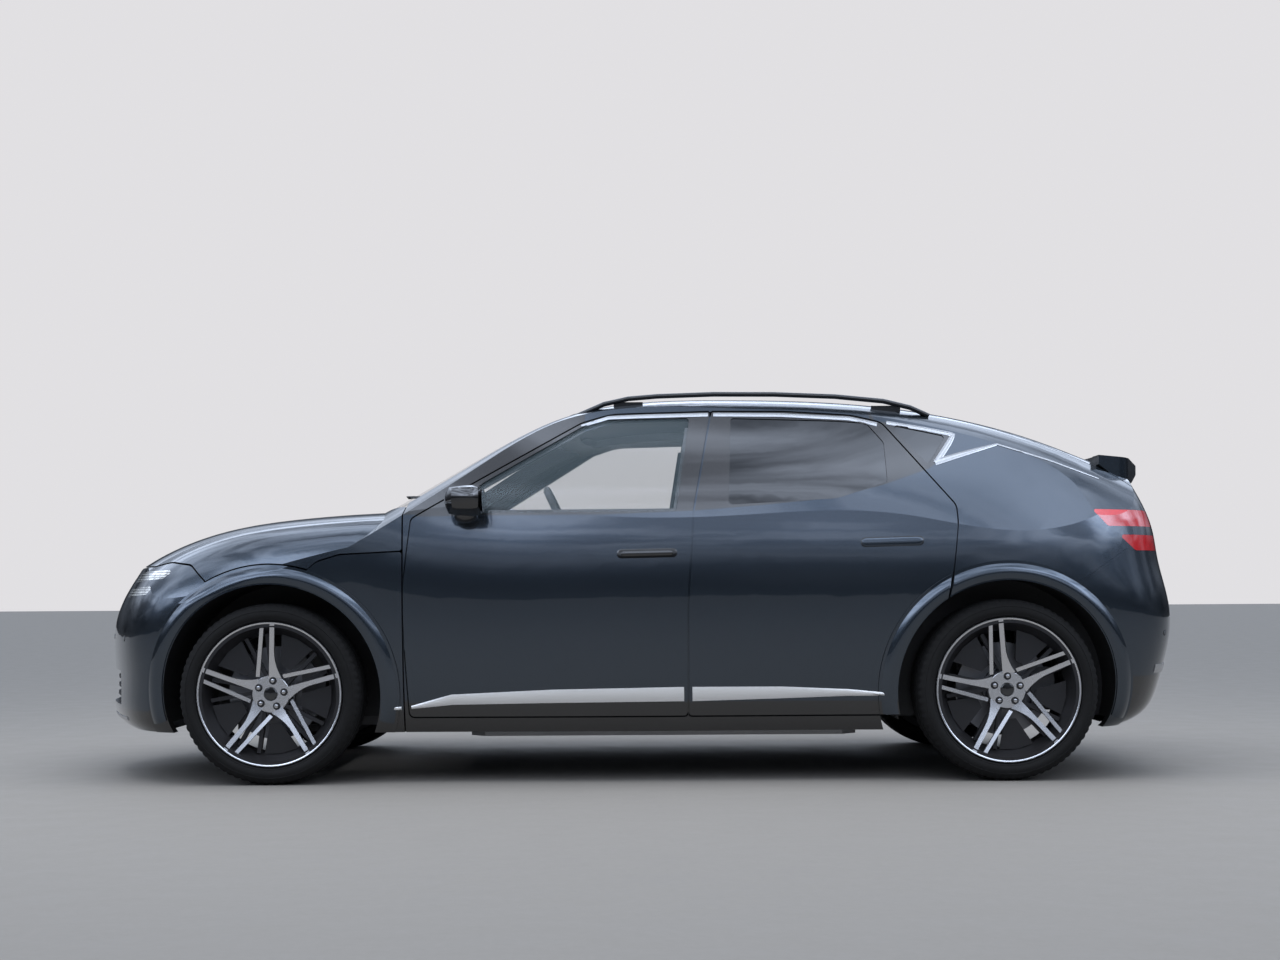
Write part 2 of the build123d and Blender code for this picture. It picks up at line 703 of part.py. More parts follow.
# Roof rails along both roof edges
RAIL_IN = SIDE - 392
RAIL_OUT = SIDE - 364
RAIL_TOP = ROOF_HEIGHT + 9
rail_curve = Spline(
    (front(1205), RAIL_TOP - 83),
    (front(1380), RAIL_TOP - 23),
    (front(1750), RAIL_TOP),
    (rear(640), RAIL_TOP - 13),
    (rear(440), RAIL_TOP - 31),
    (rear(250), RAIL_TOP - 95),
)
rail_base = ROOF_HEIGHT - 180
rail_foot = Polyline(rail_curve @ 1, (rear(250), rail_base), (front(1205), rail_base), rail_curve @ 0)
rail = side_cut(make_face(Curve() + [rail_curve, rail_foot]), RAIL_IN, RAIL_OUT) - SURFACE
write("roof_rails", rail, other_side(rail))

# Door mirrors on short stalks
MIRROR_Y = SIDE + 82
mirror_housing = Pos(front(781), MIRROR_Y, BELT_HEIGHT + 45) * Box(166, 128, 146)
mirror_housing = fillet(mirror_housing.edges(), 30)
mirror_stalk = block(front(830), front(770), SIDE - 80, MIRROR_Y, BELT_HEIGHT - 18, BELT_HEIGHT + 12)
door_mirror = (mirror_housing + mirror_stalk) - SURFACE
write("door_mirror_left", door_mirror)
write("door_mirror_right", other_side(door_mirror))


def at_hub(x, shape):
    """A wheel piece drawn along its own axis, outwards +X, set at a left wheel's hub"""
    return Pos(x, HUB_Y, TYRE_RADIUS) * Rot(0, 0, 90) * shape


def turned(points):
    """Solid of revolution from points given as distance along the axle and radius"""
    return revolve(make_face(Polyline(*points, close=True)), axis=Axis.X)


def cylinder_along(x0, x1, radius):
    return Pos((x0 + x1) / 2, 0, 0) * Rot(0, 90, 0) * Cylinder(radius, x1 - x0)


def polar(radius, degrees):
    return Vector(radius * math.cos(math.radians(degrees)), radius * math.sin(math.radians(degrees)))


# Alloy rim: barrel, star hub, five pairs of slanting bars and five aero plates
rim_half = RIM_WIDTH / 2
rim_well = BEAD_RADIUS - 22
barrel = turned([
    (-rim_half, RIM_FLANGE),
    (-rim_half + 8, RIM_FLANGE),
    (-rim_half + 10, BEAD_RADIUS),
    (-30, BEAD_RADIUS),
    (-15, rim_well),
    (40, rim_well),
    (55, BEAD_RADIUS),
    (rim_half - 10, BEAD_RADIUS),
    (rim_half - 8, RIM_FLANGE),
    (rim_half, RIM_FLANGE),
    (rim_half, BEAD_RADIUS - 2),
    (rim_half - 20, BEAD_RADIUS - RIM_WALL),
    (55, rim_well - RIM_WALL),
    (-20, rim_well - RIM_WALL),
    (-36, BEAD_RADIUS - RIM_WALL),
    (-rim_half, BEAD_RADIUS - RIM_WALL),
])
bar_root = HUB_RADIUS - 18
bar_tip = rim_well - RIM_WALL / 2
spoke_sketch = Circle(HUB_RADIUS)
for i in range(SPOKE_PAIRS):
    heading = 90 + 360 / SPOKE_PAIRS * i
    for start_turn, end_turn in ((-6, 4), (12, 24)):
        start = polar(bar_root, heading + start_turn)
        end = polar(bar_tip, heading + end_turn)
        run = end - start
        lean = math.degrees(math.atan2(run.Y, run.X))
        bar = Pos((start.X + end.X) / 2, (start.Y + end.Y) / 2) * Rot(0, 0, lean)
        spoke_sketch = spoke_sketch + bar * Rectangle(run.length, SPOKE_BAR)
spokes = extrude(Plane.YZ.offset(FACE_OFFSET - SPOKE_DEPTH) * spoke_sketch, amount=SPOKE_DEPTH, dir=(1, 0, 0))
plate_sketch = Sketch()
for i in range(SPOKE_PAIRS):
    heading = 90 + 360 / SPOKE_PAIRS * i
    corners = [polar(PLATE_ROOT, heading + 32), polar(bar_tip, heading + 29), polar(bar_tip, heading + 46),
               polar(bar_tip, heading + 62), polar(PLATE_ROOT, heading + 54)]
    plate_sketch = plate_sketch + make_face(Polyline(*corners, close=True))
plates = extrude(Plane.YZ.offset(FACE_OFFSET - PLATE_SETBACK - PLATE_SHEET) * plate_sketch,
                 amount=PLATE_SHEET, dir=(1, 0, 0))
rim = barrel + spokes + plates + cylinder_along(HUB_FACE, FACE_OFFSET, HUB_RADIUS)
rim = rim - cylinder_along(0, FACE_OFFSET - CAP_SHEET, SPINDLE_RADIUS + SPINDLE_CLEARANCE)

# Tyre: bead, sidewalls and tread as one ring
tyre_half = TYRE_WIDTH / 2
bead_half = rim_half - 12
tyre_left = Curve() + [
    Polyline((-bead_half, BEAD_RADIUS + BEAD_GAP), (-bead_half, RIM_FLANGE + 3), (-bead_half - 10, RIM_FLANGE + 7)),
    ThreePointArc((-bead_half - 10, RIM_FLANGE + 7), (-tyre_half, RIM_FLANGE + 36),
                  (-tyre_half + 16, TYRE_RADIUS - 8)),
    Line((-tyre_half + 16, TYRE_RADIUS - 8), (-tyre_half + 34, TYRE_RADIUS)),
    Line((-tyre_half + 34, TYRE_RADIUS), (0, TYRE_RADIUS)),
    Line((0, TYRE_RADIUS), (0, BEAD_RADIUS + BEAD_GAP)),
    Line((0, BEAD_RADIUS + BEAD_GAP), (-bead_half, BEAD_RADIUS + BEAD_GAP)),
]
tyre_section = make_face(tyre_left)
tyre_section = tyre_section + mirror(tyre_section, about=Plane.YZ)
tyre = revolve(tyre_section, axis=Axis.X)

# Brake disc with its bell
bell_bore = SPINDLE_RADIUS + SPINDLE_CLEARANCE
disc_out = DISC_IN + DISC_THICKNESS
brake_disc = turned([
    (DISC_IN, DISC_RADIUS),
    (disc_out, DISC_RADIUS),
    (disc_out, DISC_BELL),
    (HUB_FACE - GLASS_GAP, DISC_BELL),
    (HUB_FACE - GLASS_GAP, bell_bore),
    (HUB_FACE - BELL_SHEET, bell_bore),
    (HUB_FACE - BELL_SHEET, DISC_BELL - BELL_SHEET),
    (DISC_IN, DISC_BELL - BELL_SHEET),
])

# What carries a wheel: upright with spindle and brake caliper
spindle = cylinder_along(UPRIGHT_IN, HUB_FACE + 30, SPINDLE_RADIUS)
upright = cylinder_along(UPRIGHT_IN, UPRIGHT_OUT, UPRIGHT_RADIUS)
caliper = block(UPRIGHT_OUT - 18, disc_out + 20, DISC_RADIUS - 75, DISC_RADIUS + 18, -85, 85)
caliper = caliper & cylinder_along(-200, 200, DISC_RADIUS + 22)
caliper = caliper - block(DISC_IN - PAD_GAP, disc_out + PAD_GAP, 0, DISC_RADIUS + PAD_GAP, -200, 200)
caliper_bracket = block(UPRIGHT_OUT - 24, UPRIGHT_OUT, 0, DISC_RADIUS - 40, -45, 45)
carrier = spindle + upright + caliper + caliper_bracket
kingpin_bar = block(-KINGPIN_INSET - 15, -KINGPIN_INSET + 15, -26, 26, -KINGPIN_HALF, KINGPIN_HALF)
kingpin = Pos(-KINGPIN_INSET, 0, 0) * Cylinder(KINGPIN_RADIUS, 2 * (KINGPIN_HALF + ARM_THICKNESS))
knuckle = carrier + kingpin_bar + kingpin
for axle_name, axle_x in (("front", FRONT_AXLE), ("rear", REAR_AXLE)):
    for piece_name, piece in (("rim", rim), ("tyre", tyre), ("brake_disc", brake_disc)):
        placed = at_hub(axle_x, piece)
        write(f"{axle_name}_{piece_name}_left", placed)
        write(f"{axle_name}_{piece_name}_right", other_side(placed))
front_knuckle = at_hub(FRONT_AXLE, knuckle)
write("front_knuckle_left", front_knuckle)
write("front_knuckle_right", other_side(front_knuckle))

# Front subframe with lower and upper arms
kingpin_y = HUB_Y - KINGPIN_INSET
front_beam = block(front(230), front(-230), 0, SUBFRAME_HALF, SUBFRAME_BOTTOM, SUBFRAME_TOP)
tower = block(front(70), front(-70), SUBFRAME_HALF - 60, SUBFRAME_HALF, SUBFRAME_TOP,
              TYRE_RADIUS + KINGPIN_HALF + ARM_GAP + ARM_THICKNESS)


def arm_shape(root_half):
    """Plan of a wishbone from its root on the subframe to its eye"""
    root_y = SUBFRAME_HALF - 30
    corners = [(front(root_half), root_y), (front(EYE_RADIUS), kingpin_y)]
    corners += [(front(-EYE_RADIUS), kingpin_y), (front(-root_half), root_y)]
    return make_face(Polyline(*corners, close=True))


eye = Pos(FRONT_AXLE, kingpin_y) * Circle(EYE_RADIUS)
bore = Pos(FRONT_AXLE, kingpin_y) * Circle(KINGPIN_RADIUS + KINGPIN_CLEARANCE)
lower_z = TYRE_RADIUS - KINGPIN_HALF - ARM_GAP - ARM_THICKNESS
upper_z = TYRE_RADIUS + KINGPIN_HALF + ARM_GAP
lower_arm = plan_cut(arm_shape(170) + eye - bore, lower_z, lower_z + ARM_THICKNESS)
upper_arm = plan_cut(arm_shape(60) + eye - bore, upper_z, upper_z + ARM_THICKNESS)
rail_to_battery = block(BATTERY_FRONT, front(230), SUBFRAME_HALF - 90, SUBFRAME_HALF - 20, SUBFRAME_BOTTOM + 15,
                        SUBFRAME_TOP)
write("front_subframe", whole(front_beam + tower + rail_to_battery + lower_arm + upper_arm))

# Rear axle: subframe, arms and carriers in one
rear_beam = block(rear(-200), rear(200), 0, SUBFRAME_HALF, SUBFRAME_BOTTOM, SUBFRAME_TOP)
upright_y = HUB_Y + UPRIGHT_IN
rear_lower_arm = block(rear(-60), rear(60), SUBFRAME_HALF - 30, upright_y + 20, SUBFRAME_TOP - 40, SUBFRAME_TOP)
rear_leg = block(rear(-50), rear(50), upright_y - 24, upright_y + 20, SUBFRAME_TOP - 40, TYRE_RADIUS)
rear_axle = rear_beam + rear_lower_arm + rear_leg + at_hub(REAR_AXLE, carrier)
for post_x in (-150, 150):
    rear_axle = rear_axle + block(rear(post_x - 30), rear(post_x + 30), SUBFRAME_HALF - 60, SUBFRAME_HALF,
                                  SUBFRAME_TOP - 20, LOAD_FLOOR - FLOOR_SHEET / 2)
write("rear_axle", whole(rear_axle))

# Heavy masses: battery under the floor, a drive unit on each subframe
battery = block(rear(560), BATTERY_FRONT, -BATTERY_HALF, BATTERY_HALF, BATTERY_BOTTOM, BATTERY_TOP)
write("battery_pack", chamfer(battery.edges().filter_by(Axis.Z), 60))
front_drive = block(front(150), front(-150), -210, 210, SUBFRAME_TOP, SUBFRAME_TOP + 240)
write("front_drive_unit", fillet(front_drive.edges().filter_by(Axis.Y), 60))
rear_drive = block(rear(-180), rear(180), -270, 270, SUBFRAME_TOP, SUBFRAME_TOP + 250)
write("rear_drive_unit", fillet(rear_drive.edges().filter_by(Axis.Y), 70))


def liner(x, y_in):
    """Plastic liner of one wheel housing: a curved roof and an inner wall round the axle"""
    roof_arc = side_cut(ring(x, ARCH_RADIUS + LINER_GAP, ARCH_RADIUS + LINER_GAP + LINER_WALL), y_in)
    wall_disc = disc(x, ARCH_RADIUS + LINER_GAP + LINER_WALL) - disc(x, LINER_HOLE)
    wall = side_cut(wall_disc, y_in, y_in + LINER_WALL)
    return ((roof_arc & PANEL_INSIDE) + wall) & above(LINER_BOTTOM)


front_liner = liner(FRONT_AXLE, FRONT_LINER_IN)
rear_liner = liner(REAR_AXLE, REAR_LINER_IN)
write("wheel_liners", front_liner, rear_liner, other_side(front_liner), other_side(rear_liner))

# Under-trays below nose and tail
tray_bottom = BODY_BOTTOM + TRAY_RISE
tray_top = tray_bottom + TRAY_SHEET
front_tray = PANEL_INSIDE & block(front(-450), FAR, -FAR, FAR, tray_bottom, tray_top)
rear_tray = WALL_INSIDE & block(-FAR, rear(-450), -FAR, FAR, tray_bottom, tray_top)
write("underbody_trays", whole(front_tray), whole(rear_tray))

# Floor from the bulkhead to the load floor, cut back for the rear wheel housings
floor_line = Polyline(
    (front(560), 930),
    (front(640), 420),
    (front(760), CABIN_FLOOR),
    (rear(900), CABIN_FLOOR),
    (rear(880), SEAT_FLOOR),
    (rear(430), SEAT_FLOOR),
    (rear(220), LOAD_FLOOR),
    (TAIL + 150, LOAD_FLOOR),
)
floor = WALL_INSIDE & side_cut(trace(floor_line, line_width=FLOOR_SHEET))
floor = floor - side_cut(disc(REAR_AXLE, ARCH_RADIUS + LINER_GAP + LINER_WALL + SEAM), REAR_LINER_IN - SEAM)
write("floor_pan", whole(floor))

# Dashboard with centre console and column bore
column_x = front(1146)
column = Pos(column_x, STEERING_WHEEL_Y, STEERING_WHEEL_Z) * Rot(0, COLUMN_TILT, 0)
dash_profile = outline(
    [
        (front(600), 780),
        (front(600), 960),
        (front(680), 1012),
        (front(800), 1018),
        (front(930), 985),
        (front(960), 920),
        (front(900), 780),
        (front(760), 730),
    ],
    [0, 40, 60, 80, 30, 30, 60, 40],
)
dash = whole((WALL_INSIDE & block(front(1000), front(560), -FAR, FAR, 600, FAR)) & side_cut(dash_profile))
console_top = 600.0
floor_top = CABIN_FLOOR + FLOOR_SHEET / 2
console = block(front(1650), front(860), -110, 110, floor_top, console_top)
console = fillet(console.edges().filter_by(Axis.X), 25)
console_neck = block(front(940), front(800), -110, 110, floor_top, 820)
dash = dash + console + console_neck
dash = dash - column * cylinder_along(0, COLUMN_LENGTH + 5, COLUMN_RADIUS + COLUMN_CLEARANCE)
write("dashboard", dash)

steering = Rot(0, 90, 0) * Torus(STEERING_WHEEL_RADIUS, STEERING_WHEEL_GRIP)
steering = steering + cylinder_along(-20, 40, 62) + cylinder_along(0, COLUMN_LENGTH, COLUMN_RADIUS)
for spoke_turn in (90, 200, 340):
    spoke = Rot(spoke_turn, 0, 0) * (Pos(10, STEERING_WHEEL_RADIUS / 2, 0) * Box(16, STEERING_WHEEL_RADIUS, 40))
    steering = steering + spoke
write("steering_wheel", column * steering)

# Seats: plain padded forms on their bases
seat_profile = outline(
    [
        (front(1275), 500),
        (front(1265), 590),
        (front(1330), 640),
        (front(1740), 600),
        (front(1890), 1120),
        (front(1985), 1135),
        (front(1880), 560),
        (front(1840), 490),
    ],
    [30, 40, 60, 60, 40, 40, 120, 40],
)
seat = side_cut(seat_profile, SEAT_Y - SEAT_HALF, SEAT_Y + SEAT_HALF)
seat = seat + block(front(1800), front(1360), SEAT_Y - 190, SEAT_Y + 190, floor_top, 510)
head = Pos(front(1950), SEAT_Y, 1235) * Box(95, 250, 160)
seat = seat + fillet(head.edges(), 28)
for post in (-60, 60):
    seat = seat + Pos(front(1945), SEAT_Y + post, 1140) * Cylinder(7, 120)
write("front_seats", seat, other_side(seat))
rear_seat_bottom = SEAT_FLOOR + FLOOR_SHEET / 2 + GLASS_GAP
rear_seat_profile = outline(
    [
        (rear(930), rear_seat_bottom),
        (rear(940), 570),
        (rear(880), 625),
        (rear(480), 590),
        (rear(340), 1110),
        (rear(250), 1120),
        (rear(385), 560),
        (rear(440), rear_seat_bottom),
    ],
    [20, 40, 60, 60, 40, 40, 100, 20],
)
rear_seat = side_cut(rear_seat_profile, -REAR_SEAT_HALF, REAR_SEAT_HALF)
write("rear_seat", rear_seat)
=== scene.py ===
import math

import bmesh
import bpy
from mathutils import Matrix, Vector
from mathutils.bvhtree import BVHTree


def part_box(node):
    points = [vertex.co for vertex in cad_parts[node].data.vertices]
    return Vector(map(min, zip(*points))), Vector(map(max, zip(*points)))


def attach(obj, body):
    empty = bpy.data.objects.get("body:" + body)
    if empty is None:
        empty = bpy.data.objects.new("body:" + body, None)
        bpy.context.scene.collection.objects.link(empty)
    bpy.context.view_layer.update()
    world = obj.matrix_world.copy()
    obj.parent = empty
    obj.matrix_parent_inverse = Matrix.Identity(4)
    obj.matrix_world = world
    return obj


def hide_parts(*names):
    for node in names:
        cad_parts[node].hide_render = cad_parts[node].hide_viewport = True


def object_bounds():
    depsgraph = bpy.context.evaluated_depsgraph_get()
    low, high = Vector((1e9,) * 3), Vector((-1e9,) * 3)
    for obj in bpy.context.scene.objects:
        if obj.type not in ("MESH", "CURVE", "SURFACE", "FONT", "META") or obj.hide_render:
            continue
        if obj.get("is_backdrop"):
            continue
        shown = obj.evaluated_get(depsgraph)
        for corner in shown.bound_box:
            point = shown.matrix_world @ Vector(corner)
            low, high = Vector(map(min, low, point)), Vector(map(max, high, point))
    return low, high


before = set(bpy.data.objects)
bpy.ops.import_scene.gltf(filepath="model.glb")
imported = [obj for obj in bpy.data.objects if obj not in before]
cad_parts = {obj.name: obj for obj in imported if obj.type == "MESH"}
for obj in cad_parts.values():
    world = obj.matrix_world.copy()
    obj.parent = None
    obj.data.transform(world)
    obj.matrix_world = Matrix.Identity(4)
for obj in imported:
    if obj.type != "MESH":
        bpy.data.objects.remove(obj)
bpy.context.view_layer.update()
scene = bpy.context.scene

# Studio: a wide grey floor under a pale wall, lit by a soft clouded sky and two large boxes.
# The camera stands level at door-handle height, square to the car's left side.
camera_data = bpy.data.cameras.new("camera")
camera_data.lens = 50.3
camera_data.sensor_width = 36.0
camera_data.shift_y = 0.0875
camera = bpy.data.objects.new("camera", camera_data)
camera.location = (-0.044, 7.93, 0.75)
camera.rotation_euler = (math.radians(90.0), math.radians(0.35), math.radians(180.0))
scene.collection.objects.link(camera)
scene.camera = camera
scene.view_settings.view_transform = "Standard"


def fill(tree, made, inputs):
    """Sets or links a node's inputs, by name or by number as in i1."""
    for name, value in inputs.items():
        socket = made.inputs[int(name[1:]) if name[1:].isdigit() else name]
        if isinstance(value, bpy.types.NodeSocket):
            tree.links.new(value, socket)
        else:
            socket.default_value = value
    return made


def node(tree, kind, **inputs):
    """A new shader node with its inputs filled."""
    return fill(tree, tree.nodes.new("ShaderNode" + kind), inputs)


def math_node(tree, operation, first, second):
    """The result of one sum on two values."""
    made = node(tree, "Math", i0=first, i1=second)
    made.operation = operation
    return made.outputs[0]


def ramp(tree, share, stops):
    """Colour ramp through stops given as place and colour, the first at nought and the last at one."""
    made = node(tree, "ValToRGB", Fac=share)
    elements = made.color_ramp.elements
    for at, colour in stops:
        element = elements[0] if at == 0.0 else elements[-1] if at == 1.0 else elements.new(at)
        element.color = (*colour, 1.0)
    return made.outputs["Color"]


world = bpy.data.worlds.new("studio")
scene.world = world
world.use_nodes = True
sky = world.node_tree
sky.nodes.clear()
direction = node(sky, "TexCoord").outputs["Generated"]
toward = node(sky, "SeparateXYZ", Vector=direction).outputs
height_share = node(sky, "MapRange", Value=toward["Z"], i1=-0.25, i2=1.0).outputs["Result"]


def gradient(levels, red, blue):
    """Brightness of the sky from below the horizon to overhead, tinted by its shares of red and blue."""
    return ramp(sky, height_share, [(at, (level * red, level, level * blue)) for at, level in levels])


MIRRORED_LEVELS = ((0.0, 0.04), (0.2, 0.04), (0.30, 0.12), (0.40, 0.9), (0.50, 2.9), (0.62, 3.1),
                   (0.78, 2.2), (0.93, 2.2), (1.0, 1.2))
OVERCAST_LEVELS = ((0.0, 0.05), (0.2, 0.08), (0.36, 0.18), (0.55, 1.0), (1.0, 2.1))
stretched = node(sky, "Mapping", Vector=direction, Scale=(1.5, 1.5, 5.0)).outputs[0]
clouds = node(sky, "TexNoise", Vector=stretched, Scale=1.8, Detail=5.0, Distortion=0.6).outputs["Fac"]
patches = node(sky, "MapRange", Value=clouds, i1=0.38, i2=0.64, i3=0.3, i4=1.8).outputs["Result"]
near_side = node(sky, "MapRange", Value=toward["Y"], i1=-0.2, i2=0.3, i3=0.45, i4=1.0).outputs["Result"]
gain = math_node(sky, "MULTIPLY", patches, near_side)
clouded = node(sky, "VectorMath", i0=gradient(MIRRORED_LEVELS, red=0.88, blue=1.22), i3=gain)
clouded.operation = "SCALE"
overcast = gradient(OVERCAST_LEVELS, red=0.94, blue=1.08)
ray = node(sky, "LightPath").outputs
mirrored_sky = node(sky, "Background", Color=clouded.outputs["Vector"], Strength=0.95).outputs[0]
soft_light = node(sky, "Background", Color=overcast, Strength=1.0).outputs[0]
wall = node(sky, "Background", Color=(0.755, 0.745, 0.765, 1.0), Strength=1.0).outputs[0]
lit = node(sky, "MixShader", Fac=ray["Is Glossy Ray"], i1=soft_light, i2=mirrored_sky).outputs[0]
seen = node(sky, "MixShader", Fac=ray["Is Camera Ray"], i1=lit, i2=wall).outputs[0]
node(sky, "OutputWorld", Surface=seen)

for name, spot, aim, power, size in (
        ("overhead", (0.0, 1.0, 5.2), (0.0, 0.0, 0.6), 400.0, (6.5, 3.2)),
        ("side", (0.0, 7.0, 4.2), (0.0, 0.0, 0.7), 40.0, (7.0, 1.6))):
    lamp = bpy.data.lights.new(name, "AREA")
    lamp.energy = power
    lamp.shape = "RECTANGLE"
    lamp.size, lamp.size_y = size
    lamp_object = bpy.data.objects.new(name, lamp)
    lamp_object.location = spot
    lamp_object.rotation_euler = (Vector(aim) - Vector(spot)).to_track_quat("-Z", "Y").to_euler()
    lamp_object.visible_glossy = False
    scene.collection.objects.link(lamp_object)


def effect_group(name, inputs, outputs):
    """An empty shader node group with named sockets, and the sockets at its two ends."""
    made = bpy.data.node_groups.new(name, "ShaderNodeTree")
    for way, sockets in (("INPUT", inputs), ("OUTPUT", outputs)):
        for socket, kind in sockets.items():
            made.interface.new_socket(socket, in_out=way, socket_type="NodeSocket" + kind)
    return made, made.nodes.new("NodeGroupInput").outputs, made.nodes.new("NodeGroupOutput").inputs


def effect(tree, group, **inputs):
    """A shared group placed in a material with its own values."""
    made = tree.nodes.new("ShaderNodeGroup")
    made.node_tree = group
    return fill(tree, made, inputs).outputs


def mixed(tree, factor, first, second):
    """A colour between two others."""
    made = node(tree, "Mix")
    made.data_type = "RGBA"
    return fill(tree, made, {"i0": factor, "i6": first, "i7": second}).outputs[2]


grain_group, given, result = effect_group(
    "fine_grain",
    {"Place": "Vector", "Dark": "Color", "Light": "Color", "Size": "Float", "Smooth": "Float",
     "Rough": "Float"},
    {"Colour": "Color", "Roughness": "Float"})
fine = node(grain_group, "TexNoise", Vector=given["Place"], Scale=given["Size"], Detail=3.0).outputs["Fac"]
broad = node(grain_group, "TexNoise", Vector=given["Place"], Scale=6.0, Detail=2.0).outputs["Fac"]
uneven = node(grain_group, "MapRange", Value=broad, i3=given["Smooth"], i4=given["Rough"]).outputs["Result"]
grain_group.links.new(mixed(grain_group, fine, given["Dark"], given["Light"]), result["Colour"])
grain_group.links.new(uneven, result["Roughness"])

relief_group, given, result = effect_group(
    "relief", {"Place": "Vector", "Size": "Float"}, {"Height": "Float"})
pebbles = node(relief_group, "TexNoise", Vector=given["Place"], Scale=given["Size"], Detail=2.0)
relief_group.links.new(pebbles.outputs["Fac"], result["Height"])


def material(name, colour, rough, metal=0.0, grain=0.0, grain_size=400.0, bump=0.0, bump_size=900.0,
             **constant):
    """A finish whose colour and roughness vary with fine noise; constants go on the shader itself."""
    made = bpy.data.materials.new(name)
    made.use_nodes = True
    tree = made.node_tree
    shader = tree.nodes["Principled BSDF"]
    shader.inputs["Metallic"].default_value = metal
    for socket, value in constant.items():
        shader.inputs[socket.replace("_", " ")].default_value = value
    place = node(tree, "TexCoord").outputs["Object"]
    dark = [c * (1.0 - grain) for c in colour] + [1.0]
    light = [min(1.0, c * (1.0 + grain)) for c in colour] + [1.0]
    finish = effect(tree, grain_group, Place=place, Dark=dark, Light=light, Size=grain_size,
                    Smooth=rough * 0.85, Rough=rough * 1.15)
    tree.links.new(finish["Colour"], shader.inputs["Base Color"])
    tree.links.new(finish["Roughness"], shader.inputs["Roughness"])
    if bump:
        height = effect(tree, relief_group, Place=place, Size=bump_size)["Height"]
        bumped = node(tree, "Bump", Strength=bump, Distance=0.0005, Height=height)
        tree.links.new(bumped.outputs["Normal"], shader.inputs["Normal"])
    return made


floor_mesh = bpy.data.meshes.new("studio_floor")
bm = bmesh.new()
bmesh.ops.create_grid(bm, x_segments=4, y_segments=4, size=78.0)
bm.to_mesh(floor_mesh)
bm.free()
studio_floor = bpy.data.objects.new("studio_floor", floor_mesh)
scene.collection.objects.link(studio_floor)
floor_grey = material("studio_floor", (0.152, 0.147, 0.142), 0.75, grain=0.06, grain_size=40.0)
floor_mesh.materials.append(floor_grey)
studio_floor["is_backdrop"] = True


# Painted panels: pressed steel and aluminium in a dark slate metallic with clear coat.
# Inner faces are plain dark trim. Window frames and pillars are gloss black, and so is the cladding below.
def vector_node(tree, operation, first, second):
    """The result of one sum on two vectors."""
    made = node(tree, "VectorMath", i0=first, i1=second)
    made.operation = operation
    return made.outputs["Value" if operation == "DOT_PRODUCT" else "Vector"]


CORE = (0.2, 0.0, 0.72)
CORE_STRETCH = (0.32, 1.0, 0.8)
panel_group, given, result = effect_group(
    "metallic_panel", {"Place": "Vector", "Facing": "Vector"}, {"Tint": "Color", "Inside": "Float"})
from_core = vector_node(panel_group, "SUBTRACT", given["Place"], CORE)
from_core = vector_node(panel_group, "MULTIPLY", from_core, CORE_STRETCH)
from_core = vector_node(panel_group, "NORMALIZE", from_core, (0.0, 0.0, 0.0))
outward = vector_node(panel_group, "DOT_PRODUCT", given["Facing"], from_core)
inner_face = node(panel_group, "MapRange", Value=outward, i1=-0.12, i2=-0.2).outputs["Result"]
flakes = node(panel_group, "TexVoronoi", Vector=given["Place"], Scale=2600.0).outputs["Color"]
slate = mixed(panel_group, flakes, (0.026, 0.037, 0.052, 1.0), (0.052, 0.069, 0.092, 1.0))
panel_group.links.new(slate, result["Tint"])
panel_group.links.new(inner_face, result["Inside"])


def over(tree, place, line):
    """One above a line of side-view points, nought below it."""
    first, last = line[0][0], line[-1][0]
    along = node(tree, "MapRange", Value=place["X"], i1=first, i2=last).outputs["Result"]
    level = ramp(tree, along, [((x - first) / (last - first), [z / 2.0] * 3) for x, z in line])
    rise = math_node(tree, "SUBTRACT", place["Z"], math_node(tree, "MULTIPLY", level, 2.0))
    return node(tree, "MapRange", Value=rise, i1=-0.003, i2=0.003).outputs["Result"]


def dressed(name, belt=None, top=None, cladding=None):
    """Paint outside and trim inside, black between belt and top lines and below the cladding's edge."""
    made = bpy.data.materials.new(name)
    made.use_nodes = True
    tree = made.node_tree
    shader = tree.nodes["Principled BSDF"]
    coords = node(tree, "TexCoord").outputs
    place = node(tree, "SeparateXYZ", Vector=coords["Object"]).outputs
    panel = effect(tree, panel_group, Place=coords["Object"], Facing=coords["Normal"])
    black = panel["Inside"]
    if belt:
        zone = over(tree, place, belt)
        if top:
            zone = math_node(tree, "SUBTRACT", zone, over(tree, place, top))
        black = math_node(tree, "MAXIMUM", black, zone)
    if cladding:
        edge = node(tree, "MapRange", Value=place["Z"], i1=cladding + 0.002, i2=cladding - 0.002)
        black = math_node(tree, "MAXIMUM", black, edge.outputs["Result"])
    colour = mixed(tree, black, panel["Tint"], (0.008, 0.008, 0.009, 1.0))
    tree.links.new(colour, shader.inputs["Base Color"])
    for socket, mask, painted, other in (("Metallic", black, 0.85, 0.0),
                                         ("Roughness", panel["Inside"], 0.20, 0.55),
                                         ("Coat Weight", panel["Inside"], 1.0, 0.1)):
        value = node(tree, "MapRange", Value=mask, i3=painted, i4=other).outputs["Result"]
        tree.links.new(value, shader.inputs[socket])
    shader.inputs["Coat Roughness"].default_value = 0.03
    return made


def wear(nodes, finish):
    """Puts a finish on CAD nodes."""
    for name in nodes:
        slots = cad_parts[name].data.materials
        slots.clear()
        slots.append(finish)


